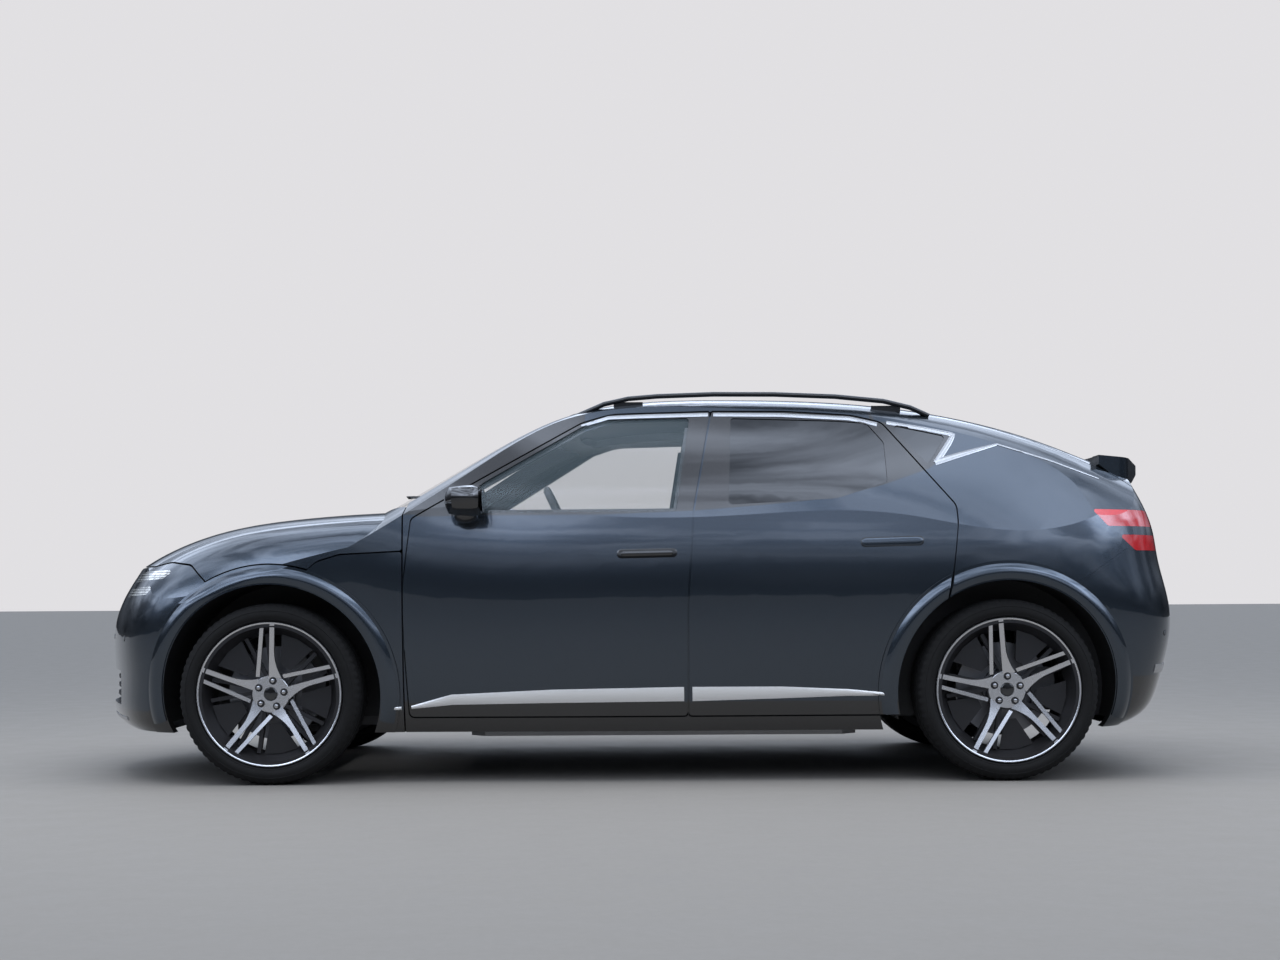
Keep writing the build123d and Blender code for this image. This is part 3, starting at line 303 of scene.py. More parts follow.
BELT = [(0.9, 1.052), (0.57, 1.056), (0.1, 1.056), (-0.26, 1.070), (-0.52, 1.090), (-0.81, 1.118),
        (-1.01, 1.170), (-1.2, 1.236)]
PILLARS = [(0.96, 1.060), (0.20, 1.060), (0.15, 1.900), (-0.97, 1.900), (-0.99, 1.160), (-1.20, 1.236),
           (-1.232, 1.258), (-1.318, 1.380), (-1.34, 1.900), (-2.30, 1.900)]
PILLAR_TOPS = [(0.96, 1.900), (-0.97, 1.900), (-0.99, 1.440), (-1.05, 1.434), (-1.20, 1.407), (-1.32, 1.381),
               (-2.30, 1.381)]
paint = dressed("paint")
wear(["hood", "roof_panel", "tailgate", "rear_arch_flares"], paint)
wear(["front_bumper"], dressed("front_bumper_paint", cladding=0.285))
wear(["rear_bumper"], dressed("rear_bumper_paint", cladding=0.405))
wear(["front_fenders"], dressed("fender_paint", cladding=0.29))
wear(["front_door_left", "front_door_right", "rear_door_left", "rear_door_right"],
     dressed("door_paint", belt=BELT, cladding=0.318))
wear(["body_side_left", "body_side_right"],
     dressed("body_side_paint", belt=PILLARS, top=PILLAR_TOPS, cladding=0.325))

# Glass: clear, lightly tinted panes in front, dark privacy glass behind the middle pillar.
# Toughened panes bonded in black frames, smooth enough to mirror the sky.
clear_glass = material("clear_glass", (0.10, 0.14, 0.17), 0.03, grain=0.05, Alpha=0.15, IOR=1.5,
                       Coat_Weight=0.5, Coat_Roughness=0.0)
dark_glass = material("dark_glass", (0.004, 0.005, 0.007), 0.03, grain=0.05, Alpha=0.975, IOR=1.5,
                      Coat_Weight=1.0, Coat_Roughness=0.0)
wear(["windscreen", "front_door_glass_left", "front_door_glass_right"], clear_glass)
wear(["rear_door_glass_left", "rear_door_glass_right", "quarter_glass", "tailgate_glass"], dark_glass)

# Lamps: clear moulded lenses over bright cells in front, red lenses at the tail.
# Clipped into the bumper and tailgate corners.
CELL_WIDTH, CELL_HEIGHT, CELL_GAP = 0.024, 0.0105, 0.0016
head_lens = material("headlamp_lens", (0.30, 0.33, 0.37), 0.08, Coat_Weight=1.0)
lens_tree = head_lens.node_tree
lens_place = node(lens_tree, "SeparateXYZ", Vector=node(lens_tree, "TexCoord").outputs["Object"]).outputs
lens_flat = node(lens_tree, "CombineXYZ", X=lens_place["Y"], Y=lens_place["Z"]).outputs[0]
cells = node(lens_tree, "TexBrick", Vector=lens_flat, Scale=1.0, Color1=(0.62, 0.66, 0.70, 1.0),
             Color2=(0.30, 0.33, 0.36, 1.0), Mortar=(0.03, 0.03, 0.035, 1.0))
fill(lens_tree, cells, {"Mortar Size": CELL_GAP, "Brick Width": CELL_WIDTH, "Row Height": CELL_HEIGHT})
lens_tree.links.new(cells.outputs["Color"], lens_tree.nodes["Principled BSDF"].inputs["Base Color"])
wear(["headlamps"], head_lens)
tail_red = material("tail_lens", (0.36, 0.006, 0.010), 0.10, grain=0.3, grain_size=140.0, Coat_Weight=1.0,
                    Emission_Color=(0.5, 0.01, 0.015, 1.0), Emission_Strength=0.12)
wear(["tail_lamps", "tailgate_lamps"], tail_red)

# Black plastics: grille slats, wheel liners and under-trays, moulded with a fine grain.
# They clip to the panels. The polished black serves handles, hub caps and mirrors further down.
grained_black = material("grained_black", (0.016, 0.016, 0.017), 0.62, grain=0.2, bump=0.35,
                         bump_size=1400.0)
gloss_black = material("gloss_black", (0.008, 0.008, 0.009), 0.12, grain=0.1, Coat_Weight=1.0)
wear(["front_grille", "wheel_liners", "underbody_trays"], grained_black)

# Running gear: cast iron and aluminium under the floor, turned steel discs.
# Castings are grainy, discs carry fine turned rings.
cast = material("casting", (0.10, 0.10, 0.105), 0.6, metal=0.5, grain=0.3, bump=0.4, bump_size=300.0)
alloy_cast = material("alloy_casting", (0.33, 0.33, 0.34), 0.5, metal=0.7, grain=0.15, bump=0.3,
                      bump_size=260.0)
turned_steel = material("turned_steel", (0.20, 0.20, 0.21), 0.38, metal=1.0, grain=0.12, grain_size=900.0)
wear(["front_subframe", "rear_axle", "front_knuckle_left", "front_knuckle_right"], cast)
wear(["battery_pack", "front_drive_unit", "rear_drive_unit"], alloy_cast)
wear([f"{axle}_brake_disc_{side}" for axle in ("front", "rear") for side in ("left", "right")], turned_steel)

# Cabin: carpeted floor and a soft moulded dashboard with console.
# Dark grey, matt, lightly grained.
carpet = material("carpet", (0.02, 0.02, 0.022), 0.95, grain=0.4, bump=0.8, bump_size=500.0)
wear(["floor_pan"], carpet)
soft_plastic = material("soft_plastic", (0.035, 0.036, 0.038), 0.6, grain=0.15, bump=0.4, bump_size=1100.0)
wear(["dashboard", "steering_wheel"], soft_plastic)

# Rims: cast alloy in dark grey paint, with the insert plates that close part of each window.
# The bright spoke faces come further down, as pieces on these.
rim_dark = material("rim_dark", (0.022, 0.022, 0.025), 0.34, metal=0.4, grain=0.2, grain_size=700.0)
wear([f"{axle}_rim_{side}" for axle in ("front", "rear") for side in ("left", "right")], rim_dark)

# Tyres: black rubber with ribbed tread, notched shoulders and rings on the sidewall.
# Moulded in one and mounted on the rim; they stand for the plain solids.
rubber = material("rubber", (0.007, 0.007, 0.0075), 0.82, grain=0.25, grain_size=120.0, bump=0.5,
                  bump_size=160.0, Specular_IOR_Level=0.25)
SIDES = (("left", 1), ("right", -1))
CREASE = math.radians(35.0)


def add_piece(name, bm, body, finish):
    """Closes a bmesh into a piece that rides on a body, smooth but for its creases."""
    bmesh.ops.recalc_face_normals(bm, faces=bm.faces[:])
    for face in bm.faces:
        face.smooth = True
    for edge in bm.edges:
        if len(edge.link_faces) == 2 and edge.calc_face_angle(0.0) > CREASE:
            edge.smooth = False
    mesh = bpy.data.meshes.new(name)
    bm.to_mesh(mesh)
    bm.free()
    made = bpy.data.objects.new(name, mesh)
    scene.collection.objects.link(made)
    mesh.materials.append(finish)
    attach(made, body)
    return made


HUBS = {}
for axle in ("front", "rear"):
    for side, sign in SIDES:
        low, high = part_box(f"{axle}_tyre_{side}")
        HUBS[axle, side] = ((low + high) / 2, sign)


def spin(profile, centre, sign, steps):
    """Ring about a wheel's axle from points as distance outwards and radius."""
    bm = bmesh.new()
    ring = [bm.verts.new((centre.x, centre.y + sign * out, centre.z + radius)) for out, radius in profile]
    edges = [bm.edges.new((ring[i], ring[(i + 1) % len(ring)])) for i in range(len(ring))]
    bmesh.ops.spin(bm, geom=ring + edges, cent=centre, axis=(0, 1, 0), angle=math.tau, steps=steps,
                   use_merge=True)
    return bm


TYRE_STEPS = 216
NOTCH_EVERY, NOTCH_DEPTH = 3, 0.004
SHOULDER_RADIUS, SHOULDER_OUT = 0.334, 0.09
tyre_half = [(0.0, 0.357), (0.008, 0.357), (0.010, 0.350), (0.018, 0.350), (0.020, 0.357), (0.052, 0.3565),
             (0.054, 0.350), (0.063, 0.350), (0.065, 0.356), (0.094, 0.3555), (0.104, 0.353), (0.112, 0.349),
             (0.120, 0.338), (0.1245, 0.330), (0.1255, 0.3285), (0.1240, 0.327), (0.1268, 0.318),
             (0.1262, 0.306), (0.1215, 0.297), (0.1225, 0.2955), (0.1165, 0.2905), (0.108, 0.287),
             (0.106, 0.268)]
tyre_profile = [(-out, radius) for out, radius in reversed(tyre_half[1:])] + tyre_half
for (axle, side), (centre, sign) in HUBS.items():
    bm = spin(tyre_profile, centre, sign, TYRE_STEPS)
    for vert in bm.verts:
        arm = vert.co - centre
        radius = math.hypot(arm.x, arm.z)
        step = round(math.atan2(arm.z, arm.x) / math.tau * TYRE_STEPS)
        if step % NOTCH_EVERY == 0 and radius > SHOULDER_RADIUS and abs(arm.y) > SHOULDER_OUT:
            vert.co -= Vector((arm.x, 0.0, arm.z)) * (NOTCH_DEPTH / radius)
    tyre = add_piece(f"{axle}_road_tyre_{side}", bm, f"{axle}_wheel_{side}", rubber)
    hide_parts(f"{axle}_tyre_{side}")

# Wheel faces: five leaning spokes that flare into the hub, a slim bar beside each, and a thin lip.
# The lathe has cut them bright through the dark paint. They rise from the hub to the rim's edge.
machined = material("machined", (0.66, 0.66, 0.675), 0.27, metal=1.0, grain=0.08, grain_size=1500.0)
# A dark metal for the discs round each lug nut: painted shade standing for the shadowed lug bores.
lug_bore_shade = material("lug_bore_shade", (0.03, 0.03, 0.033), 0.4, metal=0.6, grain=0.1)
nut_steel = material("nut_steel", (0.5, 0.5, 0.51), 0.25, metal=1.0, grain=0.1)
SPOKES = 5
SPOKE_TIP, SPOKE_ROOT, SPOKE_FLARE = 0.276, 0.063, 0.171
SPOKE_WIDTH, SPOKE_LEAN, SPOKE_SWELL = 0.0185, 0.053, 0.031
HUB_OUT, DISH, DISH_FROM, DISH_RUN = 0.085, 0.034, 0.075, 0.2
PLATE_DEPTH, BAR_SINK = 0.016, 0.003
LUG_CIRCLE, LUG_OUT, LUG_START = 0.053, 0.0845, math.radians(80.0)
REAR_TURN = math.radians(9.0)


def raised(bm, across, centre, sign, turn, sink=0.0):
    """Closed plate between two edges of a spoke, as points across and along it, dished like the wheel."""
    rows = []
    for row in across:
        points = []
        for u, v in row:
            dish = DISH * min(1.0, max(0.0, (math.hypot(u, v) - DISH_FROM) / DISH_RUN))
            spot = Matrix.Rotation(turn, 2) @ Vector((u, v))
            out = centre.y + sign * (HUB_OUT + dish - sink)
            points.append(bm.verts.new((centre.x - spot.x, out, centre.z + spot.y)))
        rows.append(points)
    faces = [bm.faces.new((a[0], a[1], b[1], b[0])) for a, b in zip(rows, rows[1:])]
    back = bmesh.ops.extrude_face_region(bm, geom=faces, use_keep_orig=True)["geom"]
    bmesh.ops.translate(bm, verts=[part for part in back if isinstance(part, bmesh.types.BMVert)],
                        vec=(0.0, -sign * PLATE_DEPTH, 0.0))


def spoke_row(v):
    """Left and right edge of a main spoke at a height along it."""
    left = 0.004 - SPOKE_LEAN * (SPOKE_TIP - v)
    swell = SPOKE_SWELL * (max(0.0, SPOKE_FLARE - v) / (SPOKE_FLARE - SPOKE_ROOT)) ** 2
    return (left, v), (left + SPOKE_WIDTH + swell, v)


spoke = [spoke_row(SPOKE_TIP + (SPOKE_ROOT - SPOKE_TIP) * i / 10) for i in range(11)]
slim_bar = [((-0.0345 - lean, v), (-0.0195 - lean, v))
            for lean, v in ((0.0, 0.276), (0.012, 0.17), (0.024, 0.068))]
hub_profile = [(0.066, 0.0262), (0.066, 0.0735), (0.0835, 0.0735), (0.0850, 0.0720), (0.0850, 0.0275),
               (0.0835, 0.0262)]
lip_profile = [(0.1130, 0.2768), (0.1185, 0.2768), (0.1200, 0.2790), (0.1200, 0.2830), (0.1180, 0.2848),
               (0.1130, 0.2848)]
cap_profile = [(0.070, 0.0003), (0.070, 0.0260), (0.0845, 0.0260), (0.0880, 0.0225), (0.0890, 0.0120),
               (0.0892, 0.0003)]
for (axle, side), (centre, sign) in HUBS.items():
    body = f"{axle}_wheel_{side}"
    axle_turn = 0.0 if axle == "front" else REAR_TURN
    bm = bmesh.new()
    for i in range(SPOKES):
        turn = math.tau * i / SPOKES + axle_turn
        raised(bm, spoke, centre, sign, turn)
        raised(bm, slim_bar, centre, sign, turn, sink=BAR_SINK)
    add_piece(f"{axle}_spokes_{side}", bm, body, machined)
    hub = spin(hub_profile, centre, sign, 60)
    add_piece(f"{axle}_hub_face_{side}", hub, body, machined)
    lip = spin(lip_profile, centre, sign, 120)
    add_piece(f"{axle}_rim_lip_{side}", lip, body, machined)
    # Dark discs under the lug nuts are painted shade for the bores that the nuts sit in.
    bore_shades, nuts = bmesh.new(), bmesh.new()
    outward_turn = Matrix.Rotation(math.radians(-90.0 * sign), 4, "X")
    for i in range(SPOKES):
        angle = math.tau * i / SPOKES + LUG_START + axle_turn
        spot = centre + Vector((-LUG_CIRCLE * math.cos(angle), sign * LUG_OUT, LUG_CIRCLE * math.sin(angle)))
        nut_spot = spot + Vector((0, sign * 0.006, 0))
        bmesh.ops.create_cone(bore_shades, cap_ends=True, segments=24, radius1=0.0150, radius2=0.0150,
                              depth=0.003, matrix=Matrix.Translation(spot) @ outward_turn)
        bmesh.ops.create_cone(nuts, cap_ends=True, segments=6, radius1=0.0098, radius2=0.0078,
                              depth=0.012, matrix=Matrix.Translation(nut_spot) @ outward_turn)
    bmesh.ops.bevel(nuts, geom=nuts.edges[:], offset=0.0010, segments=2, profile=0.5, affect="EDGES",
                    material=-1)
    add_piece(f"{axle}_lug_bore_shades_{side}", bore_shades, body, lug_bore_shade)
    add_piece(f"{axle}_lug_nuts_{side}", nuts, body, nut_steel)
    cap = spin(cap_profile, centre, sign, 40)
    add_piece(f"{axle}_hub_cap_{side}", cap, body, gloss_black)

# Bright trim: satin chrome bands pressed on the window tops, brushed ones along the sills.
# Each is a thin crowned strip that follows the panel it is clipped to, split where the doors part.
chrome = material("satin_chrome", (0.50, 0.51, 0.53), 0.25, metal=0.9, grain=0.05, grain_size=900.0)
sill_metal = material("brushed_sill", (0.74, 0.75, 0.77), 0.32, metal=0.4, grain=0.05, grain_size=900.0)
CROWN = ((-1.0, -0.3), (-1.0, 0.45), (-0.6, 0.9), (0.0, 1.0), (0.6, 0.9), (1.0, 0.45), (1.0, -0.3))


def skin(*nodes):
    """A tree for rays to meet these nodes, and the node that each of its faces belongs to."""
    points, faces, owners = [], [], []
    for name in nodes:
        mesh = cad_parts[name].data
        start = len(points)
        points += [v.co.copy() for v in mesh.vertices]
        faces += [[start + i for i in p.vertices] for p in mesh.polygons]
        owners += [name] * len(mesh.polygons)
    return BVHTree.FromPolygons(points, faces), owners


def met(ground, start, towards):
    """Where a ray first meets a skin, the way out of it there, and the node that it met."""
    hit, normal, index, _ = ground[0].ray_cast(start, towards)
    if hit is None:
        return None, None, None
    return hit, -normal if normal.dot(towards) > 0 else normal, ground[1][index]


def laid(ground, x, z, rise):
    """The point on the left skin at a side-view place, lifted by rise, and the node under it."""
    hit, normal, owner = met(ground, Vector((x, 1.4, z)), Vector((0, -1, 0)))
    return (hit + normal * rise, owner) if hit else (None, None)


def joined(bm, rings):
    """Bridges rings of points one after the other and closes both ends."""
    loops = []
    for ring in rings:
        verts = [bm.verts.new(point) for point in ring]
        loops.append([bm.edges.new(pair) for pair in zip(verts, verts[1:] + verts[:1])])
    for first, second in zip(loops, loops[1:]):
        bmesh.ops.bridge_loops(bm, edges=first + second)
    bmesh.ops.holes_fill(bm, edges=loops[0] + loops[-1], sides=0)


def strip(name, rows, body, finish):
    """Closed strip through rows of points on the left side, and its mirror image on the right."""
    for side, sign in SIDES:
        bm = bmesh.new()
        joined(bm, [[(p.x, p.y * sign, p.z) for p in row] for row in rows])
        add_piece(f"{name}_{side}", bm, body.replace("SIDE", side), finish)


def band(name, ground, line, widths, body, finish, lift=0.003, spacing=0.02):
    """A crowned strip on the skin along side-view points."""
    points = [Vector((x, 0.0, z)) for x, z in line]
    path, spans = [], []
    for i in range(len(points) - 1):
        steps = max(1, int((points[i + 1] - points[i]).length / spacing))
        for k in range(steps + (i == len(points) - 2)):
            share = k / steps
            path.append(points[i].lerp(points[i + 1], share))
            spans.append(widths[i] + (widths[i + 1] - widths[i]) * share)
    rows = []
    for i, (spot, width) in enumerate(zip(path, spans)):
        run = (path[min(i + 1, len(path) - 1)] - path[max(i - 1, 0)]).normalized()
        across = Vector((-run.z, 0.0, run.x))
        places = [spot + across * (width / 2 * share) for share, _ in CROWN]
        row = [laid(ground, p.x, p.z, lift * rise)[0] for p, (_, rise) in zip(places, CROWN)]
        if all(row):
            rows.append(row)
    strip(name, rows, body, finish)


front_skin = skin("front_door_left", "front_door_glass_left")
rear_skin = skin("rear_door_left", "rear_door_glass_left")
side_skin = skin("body_side_left", "quarter_glass")
band("window_trim_front_door", front_skin,
     [(0.19, 1.424), (0.08, 1.459), (-0.05, 1.464), (-0.325, 1.470)],
     [0.010, 0.014, 0.015, 0.015], "front_door_SIDE", chrome)
band("window_trim_rear_door", rear_skin,
     [(-0.347, 1.470), (-0.62, 1.4665), (-0.90, 1.450), (-1.01, 1.424)],
     [0.015, 0.015, 0.016, 0.016], "rear_door_SIDE", chrome)
band("window_trim_pillar", side_skin,
     [(-1.05, 1.432), (-1.20, 1.405), (-1.318, 1.380), (-1.296, 1.345), (-1.232, 1.258)],
     [0.015, 0.016, 0.018, 0.022, 0.022], "body", chrome, spacing=0.012)
band("window_trim_return", side_skin,
     [(-1.228, 1.262), (-1.36, 1.302), (-1.49, 1.338)],
     [0.026, 0.020, 0.010], "body", chrome, spacing=0.012)
band("roof_edge_line", side_skin,
     [(-1.49, 1.340), (-1.70, 1.272), (-1.90, 1.196)],
     [0.007, 0.006, 0.004], "body", chrome)
band("sill_trim_front", front_skin,
     [(0.86, 0.300), (0.70, 0.330), (0.30, 0.342), (-0.215, 0.348)],
     [0.012, 0.040, 0.052, 0.056], "front_door_SIDE", sill_metal, lift=0.006)
band("sill_trim_rear", rear_skin,
     [(-0.248, 0.348), (-0.60, 0.352), (-0.86, 0.350), (-1.02, 0.342)],
     [0.056, 0.046, 0.026, 0.012], "rear_door_SIDE", sill_metal, lift=0.006)
band("sill_trim_fender", skin("front_fenders"),
     [(0.958, 0.296), (0.90, 0.297)],
     [0.010, 0.012], "body", sill_metal, lift=0.005, spacing=0.01)

# Flush door handles: slim bars with round ends, set in the door skin and pulled by their rear end.
# Black in front, where a gloss black plate is painted shade for the open recess, and body-coloured in a dark
# surround behind.
HANDLE_SHAPE = ((0.0, 0.35), (0.012, 0.66), (0.04, 0.93), (0.07, 1.0), (0.93, 1.0), (0.96, 0.93),
                (0.988, 0.66), (1.0, 0.35))


def handle(name, ground, front, rear, tall, lift, body, finish):
    """Bar with rounded ends between two side-view points."""
    run = Vector(rear) - Vector(front)
    line = [tuple(Vector(front) + run * share) for share, _ in HANDLE_SHAPE]
    widths = [tall * width for _, width in HANDLE_SHAPE]
    band(name, ground, line, widths, body, finish, lift=lift, spacing=0.01)


# Gloss black plate round the front handle: painted shade for the open recess behind it.
handle("front_handle_recess_shade", front_skin, (0.045, 0.8995), (-0.19, 0.9035), 0.036, 0.0012,
       "front_door_SIDE", gloss_black)
handle("front_handle", front_skin, (0.030, 0.8998), (-0.175, 0.9032), 0.019, 0.006,
       "front_door_SIDE", gloss_black)
handle("rear_handle_recess", rear_skin, (-0.912, 0.9394), (-1.158, 0.945), 0.038, 0.0010,
       "rear_door_SIDE", gloss_black)
handle("rear_handle", rear_skin, (-0.916, 0.9395), (-1.154, 0.9449), 0.031, 0.0028,
       "rear_door_SIDE", paint)

# Arch flares: a rounded edge swells out of the panel round each wheel opening, in body colour.
# Pressed with the fender and the quarter; ahead of the rear wheel it runs on over the door.
SWELL = ((0.437, -0.001), (0.437, 0.004), (0.449, 0.010), (0.466, 0.012), (0.484, 0.007), (0.497, 0.001),
         (0.497, -0.001))
ARCH_START, ARCH_END, ARCH_STEPS = -14.0, 194.0, 96
SHORTEST_RUN = 4.0


def flare(axle, ground):
    """Swollen strip round an arch, cut where the panel that carries it ends."""
    centre = HUBS[axle, "left"][0]

    def lifted(angle, radius, rise):
        """The point on the skin at an angle and radius about the wheel, and the node under it."""
        spot = math.radians(angle)
        return laid(ground, centre.x + radius * math.cos(spot), centre.z + radius * math.sin(spot), rise)

    columns = []
    fine_steps = ARCH_STEPS * 4
    for radius, rise in SWELL:
        runs = []
        for i in range(fine_steps + 1):
            angle = ARCH_START + (ARCH_END - ARCH_START) * i / fine_steps
            owner = lifted(angle, radius, rise)[1]
            if owner and (not runs or runs[-1][0] != owner):
                runs.append([owner, angle, angle])
            elif owner:
                runs[-1][2] = angle
        columns.append([run for run in runs if run[2] - run[1] > SHORTEST_RUN])
    for k, parts in enumerate(zip(*columns)):
        rows = []
        for i in range(ARCH_STEPS + 1):
            row = [lifted(first + (last - first) * i / ARCH_STEPS, radius, rise)[0]
                   for (_, first, last), (radius, rise) in zip(parts, SWELL)]
            if all(row):
                rows.append(row)
        body = "rear_door_SIDE" if parts[0][0].startswith("rear_door") else "body"
        strip(f"{axle}_arch_flare_{k}", rows, body, paint)


flare("front", skin("front_fenders"))
flare("rear", skin("rear_arch_flares", "rear_door_left", "body_side_left", "rear_bumper"))

# Door mirrors: gloss black shells with a rounded front, a flat silvered face behind and a foot on the door.
# Moulded shells on a cast foot; they stand for the plain solids.
silvered = material("silvered", (0.80, 0.81, 0.82), 0.03, metal=1.0, grain=0.02)
SHELL_FRONT, SHELL_BACK, SHELL_WIDE, SHELL_TALL = 0.108, 0.045, 0.094, 0.061
SHELL_TILT = 0.008
FOOT_SIZE = (0.048, 0.056, 0.030, 1.0)
MIRROR_GLASS_SIZE = (0.004, 0.076, 0.046, 1.0)
for side, sign in SIDES:
    low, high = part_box(f"door_mirror_{side}")
    inner, outer = (low.y, high.y) if sign > 0 else (-high.y, -low.y)
    middle = Vector(((low.x + high.x) / 2 - 0.026, sign * (outer - 0.097), (low.z + high.z) / 2 + 0.014))
    bm = bmesh.new()
    bmesh.ops.create_uvsphere(bm, u_segments=48, v_segments=32, radius=1.0)
    for vert in bm.verts:
        longest = max(abs(c) for c in vert.co)
        u, w, h = (c * (0.55 + 0.45 / max(longest, 0.6)) for c in vert.co)
        w = sign * w
        taper = 1.0 - 0.22 * max(0.0, w) - 0.10 * max(0.0, -w)
        depth = SHELL_FRONT if u > 0 else SHELL_BACK
        vert.co = middle + Vector((u * depth * taper, sign * w * SHELL_WIDE,
                                   h * SHELL_TALL * taper + SHELL_TILT * w))
    foot_spot = (middle.x + 0.03, sign * (inner + 0.052), low.z + 0.030)
    bmesh.ops.create_uvsphere(bm, u_segments=24, v_segments=16, radius=1.0,
                              matrix=Matrix.Translation(foot_spot) @ Matrix.Diagonal(FOOT_SIZE))
    shell = add_piece(f"mirror_shell_{side}", bm, f"front_door_{side}", gloss_black)
    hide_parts(f"door_mirror_{side}")
    bm = bmesh.new()
    glass_spot = middle + Vector((-0.0445, 0, 0))
    bmesh.ops.create_uvsphere(bm, u_segments=40, v_segments=20, radius=1.0,
                              matrix=Matrix.Translation(glass_spot) @ Matrix.Diagonal(MIRROR_GLASS_SIZE))
    add_piece(f"mirror_glass_{side}", bm, f"front_door_{side}", silvered)

# Roof rails: slim dark bars that rise from the roof's edge and run clear of it between their feet.
# Drawn aluminium tube in satin black; they stand for the plain solids.
satin_black = material("satin_black", (0.02, 0.021, 0.023), 0.3, metal=0.5, grain=0.15, Coat_Weight=0.4)
RAIL_LINE = [(0.207, 1.478), (0.10, 1.524), (0.0, 1.546), (-0.12, 1.5555), (-0.35, 1.5625), (-0.60, 1.5605),
             (-0.85, 1.5500), (-1.05, 1.5300), (-1.16, 1.5030), (-1.237, 1.468)]
RAIL_SIDES, RAIL_HALF_TALL, RAIL_HALF_WIDE = 14, 0.010, 0.017
RAIL_FEET = ((0.0, 1.519), (-1.06, 1.498))
RAIL_FOOT_SIZE = (0.12, 0.014, 0.026, 1.0)
rail_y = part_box("roof_rails")[1].y - 0.018
bm = bmesh.new()
for side, sign in SIDES:
    rings = []
    for i, (x, z) in enumerate(RAIL_LINE):
        before, after = RAIL_LINE[max(i - 1, 0)], RAIL_LINE[min(i + 1, len(RAIL_LINE) - 1)]
        along = Vector((after[0] - before[0], 0.0, after[1] - before[1])).normalized()
        up = Vector((along.z, 0.0, -along.x)) * RAIL_HALF_TALL
        wide = Vector((0.0, RAIL_HALF_WIDE, 0.0))
        angles = [math.tau * k / RAIL_SIDES for k in range(RAIL_SIDES)]
        middle = Vector((x, sign * rail_y, z))
        rings.append([middle + up * math.sin(angle) + wide * math.cos(angle) for angle in angles])
    joined(bm, rings)
    for x, z in RAIL_FEET:
        foot_spot = (x, sign * (rail_y - 0.004), z)
        bmesh.ops.create_cube(bm, size=1.0,
                              matrix=Matrix.Translation(foot_spot) @ Matrix.Diagonal(RAIL_FOOT_SIZE))
rails = add_piece("slim_roof_rails", bm, "body", satin_black)
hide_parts("roof_rails")

# Bumper trim: a satin bar wraps the rear bumper, a slim one edges the front lip.
# Pressed-in mouldings that follow the bumpers round their corners.
FAR_OUT = 3.0
BAR_LIFT, BAR_STEPS = 0.004, 72
FRONT_MIDDLE, REAR_MIDDLE = 1.30, -1.30


def inward_from(angle):
    """Level direction from an angle round an end of the car to its middle line."""
    return Vector((-math.cos(math.radians(angle)), -math.sin(math.radians(angle)), 0.0))


def wrapped(name, ground, centre_x, start, end, z, tall):
    """Crowned bar at one height round an end of the car, met by rays towards a point on its middle line."""
    rows = []
    for i in range(BAR_STEPS + 1):
        inward = inward_from(start + (end - start) * i / BAR_STEPS)
        row = []
        for share, rise in CROWN:
            target = Vector((centre_x, 0.0, z + share * tall / 2))
            hit, normal, _ = met(ground, target - inward * FAR_OUT, inward)
            if hit:
                row.append(hit + normal * (BAR_LIFT * rise))
        if len(row) == len(CROWN):
            rows.append(row)
    bm = bmesh.new()
    joined(bm, rows)
    add_piece(name, bm, "body", chrome)


front_bumper_skin = skin("front_bumper")
rear_bumper_skin = skin("rear_bumper")
wrapped("rear_bumper_bar", rear_bumper_skin, REAR_MIDDLE, 136.0, 224.0, 0.432, 0.036)
wrapped("front_lip_bar", front_bumper_skin, FRONT_MIDDLE, -40.0, 40.0, 0.246, 0.016)

# Parking sensors: small round buttons in the bumpers' corners and ends.
# Moulded in body colour with a dark ring, flush in their holes.
SENSOR_HEIGHT = 0.575
for end, ground, centre_x, angles in (
        ("front", front_bumper_skin, FRONT_MIDDLE, (-42.0, -18.0, 18.0, 42.0)),
        ("rear", rear_bumper_skin, REAR_MIDDLE, (138.0, 162.0, 198.0, 222.0))):
    rings, buttons = bmesh.new(), bmesh.new()
    for angle in angles:
        inward = inward_from(angle)
        hit, normal, _ = met(ground, Vector((centre_x, 0.0, SENSOR_HEIGHT)) - inward * FAR_OUT, inward)
        seat = Matrix.Translation(hit) @ normal.to_track_quat("Z", "Y").to_matrix().to_4x4()
        bmesh.ops.create_cone(rings, cap_ends=True, segments=32, radius1=0.0125, radius2=0.0120,
                              depth=0.002, matrix=seat)
        bmesh.ops.create_cone(buttons, cap_ends=True, segments=32, radius1=0.0098, radius2=0.0090,
                              depth=0.0036, matrix=seat)
    add_piece(f"{end}_sensor_rings", rings, "body", grained_black)
    add_piece(f"{end}_sensor_buttons", buttons, "body", paint)

# Cowl and wipers: a black moulded tray closes the gap between hood and windscreen and carries two wipers.
# The arms are pressed steel, their blades rubber, parked low on the glass.
TRAY_HALF, TRAY_STEPS, TRAY_WALL = 0.66, 24, 0.004
WIPER_STEPS = 16
WIPER_SPANS = ((0.46, -0.16), (-0.10, -0.62))
WIPER_SECTION = ((-0.006, 0.003), (0.006, 0.003), (0.009, 0.016), (-0.009, 0.016))


def screen_edge(y):
    """How far forward the windscreen's lower edge lies."""
    return 1.000 - 0.20 * y * y


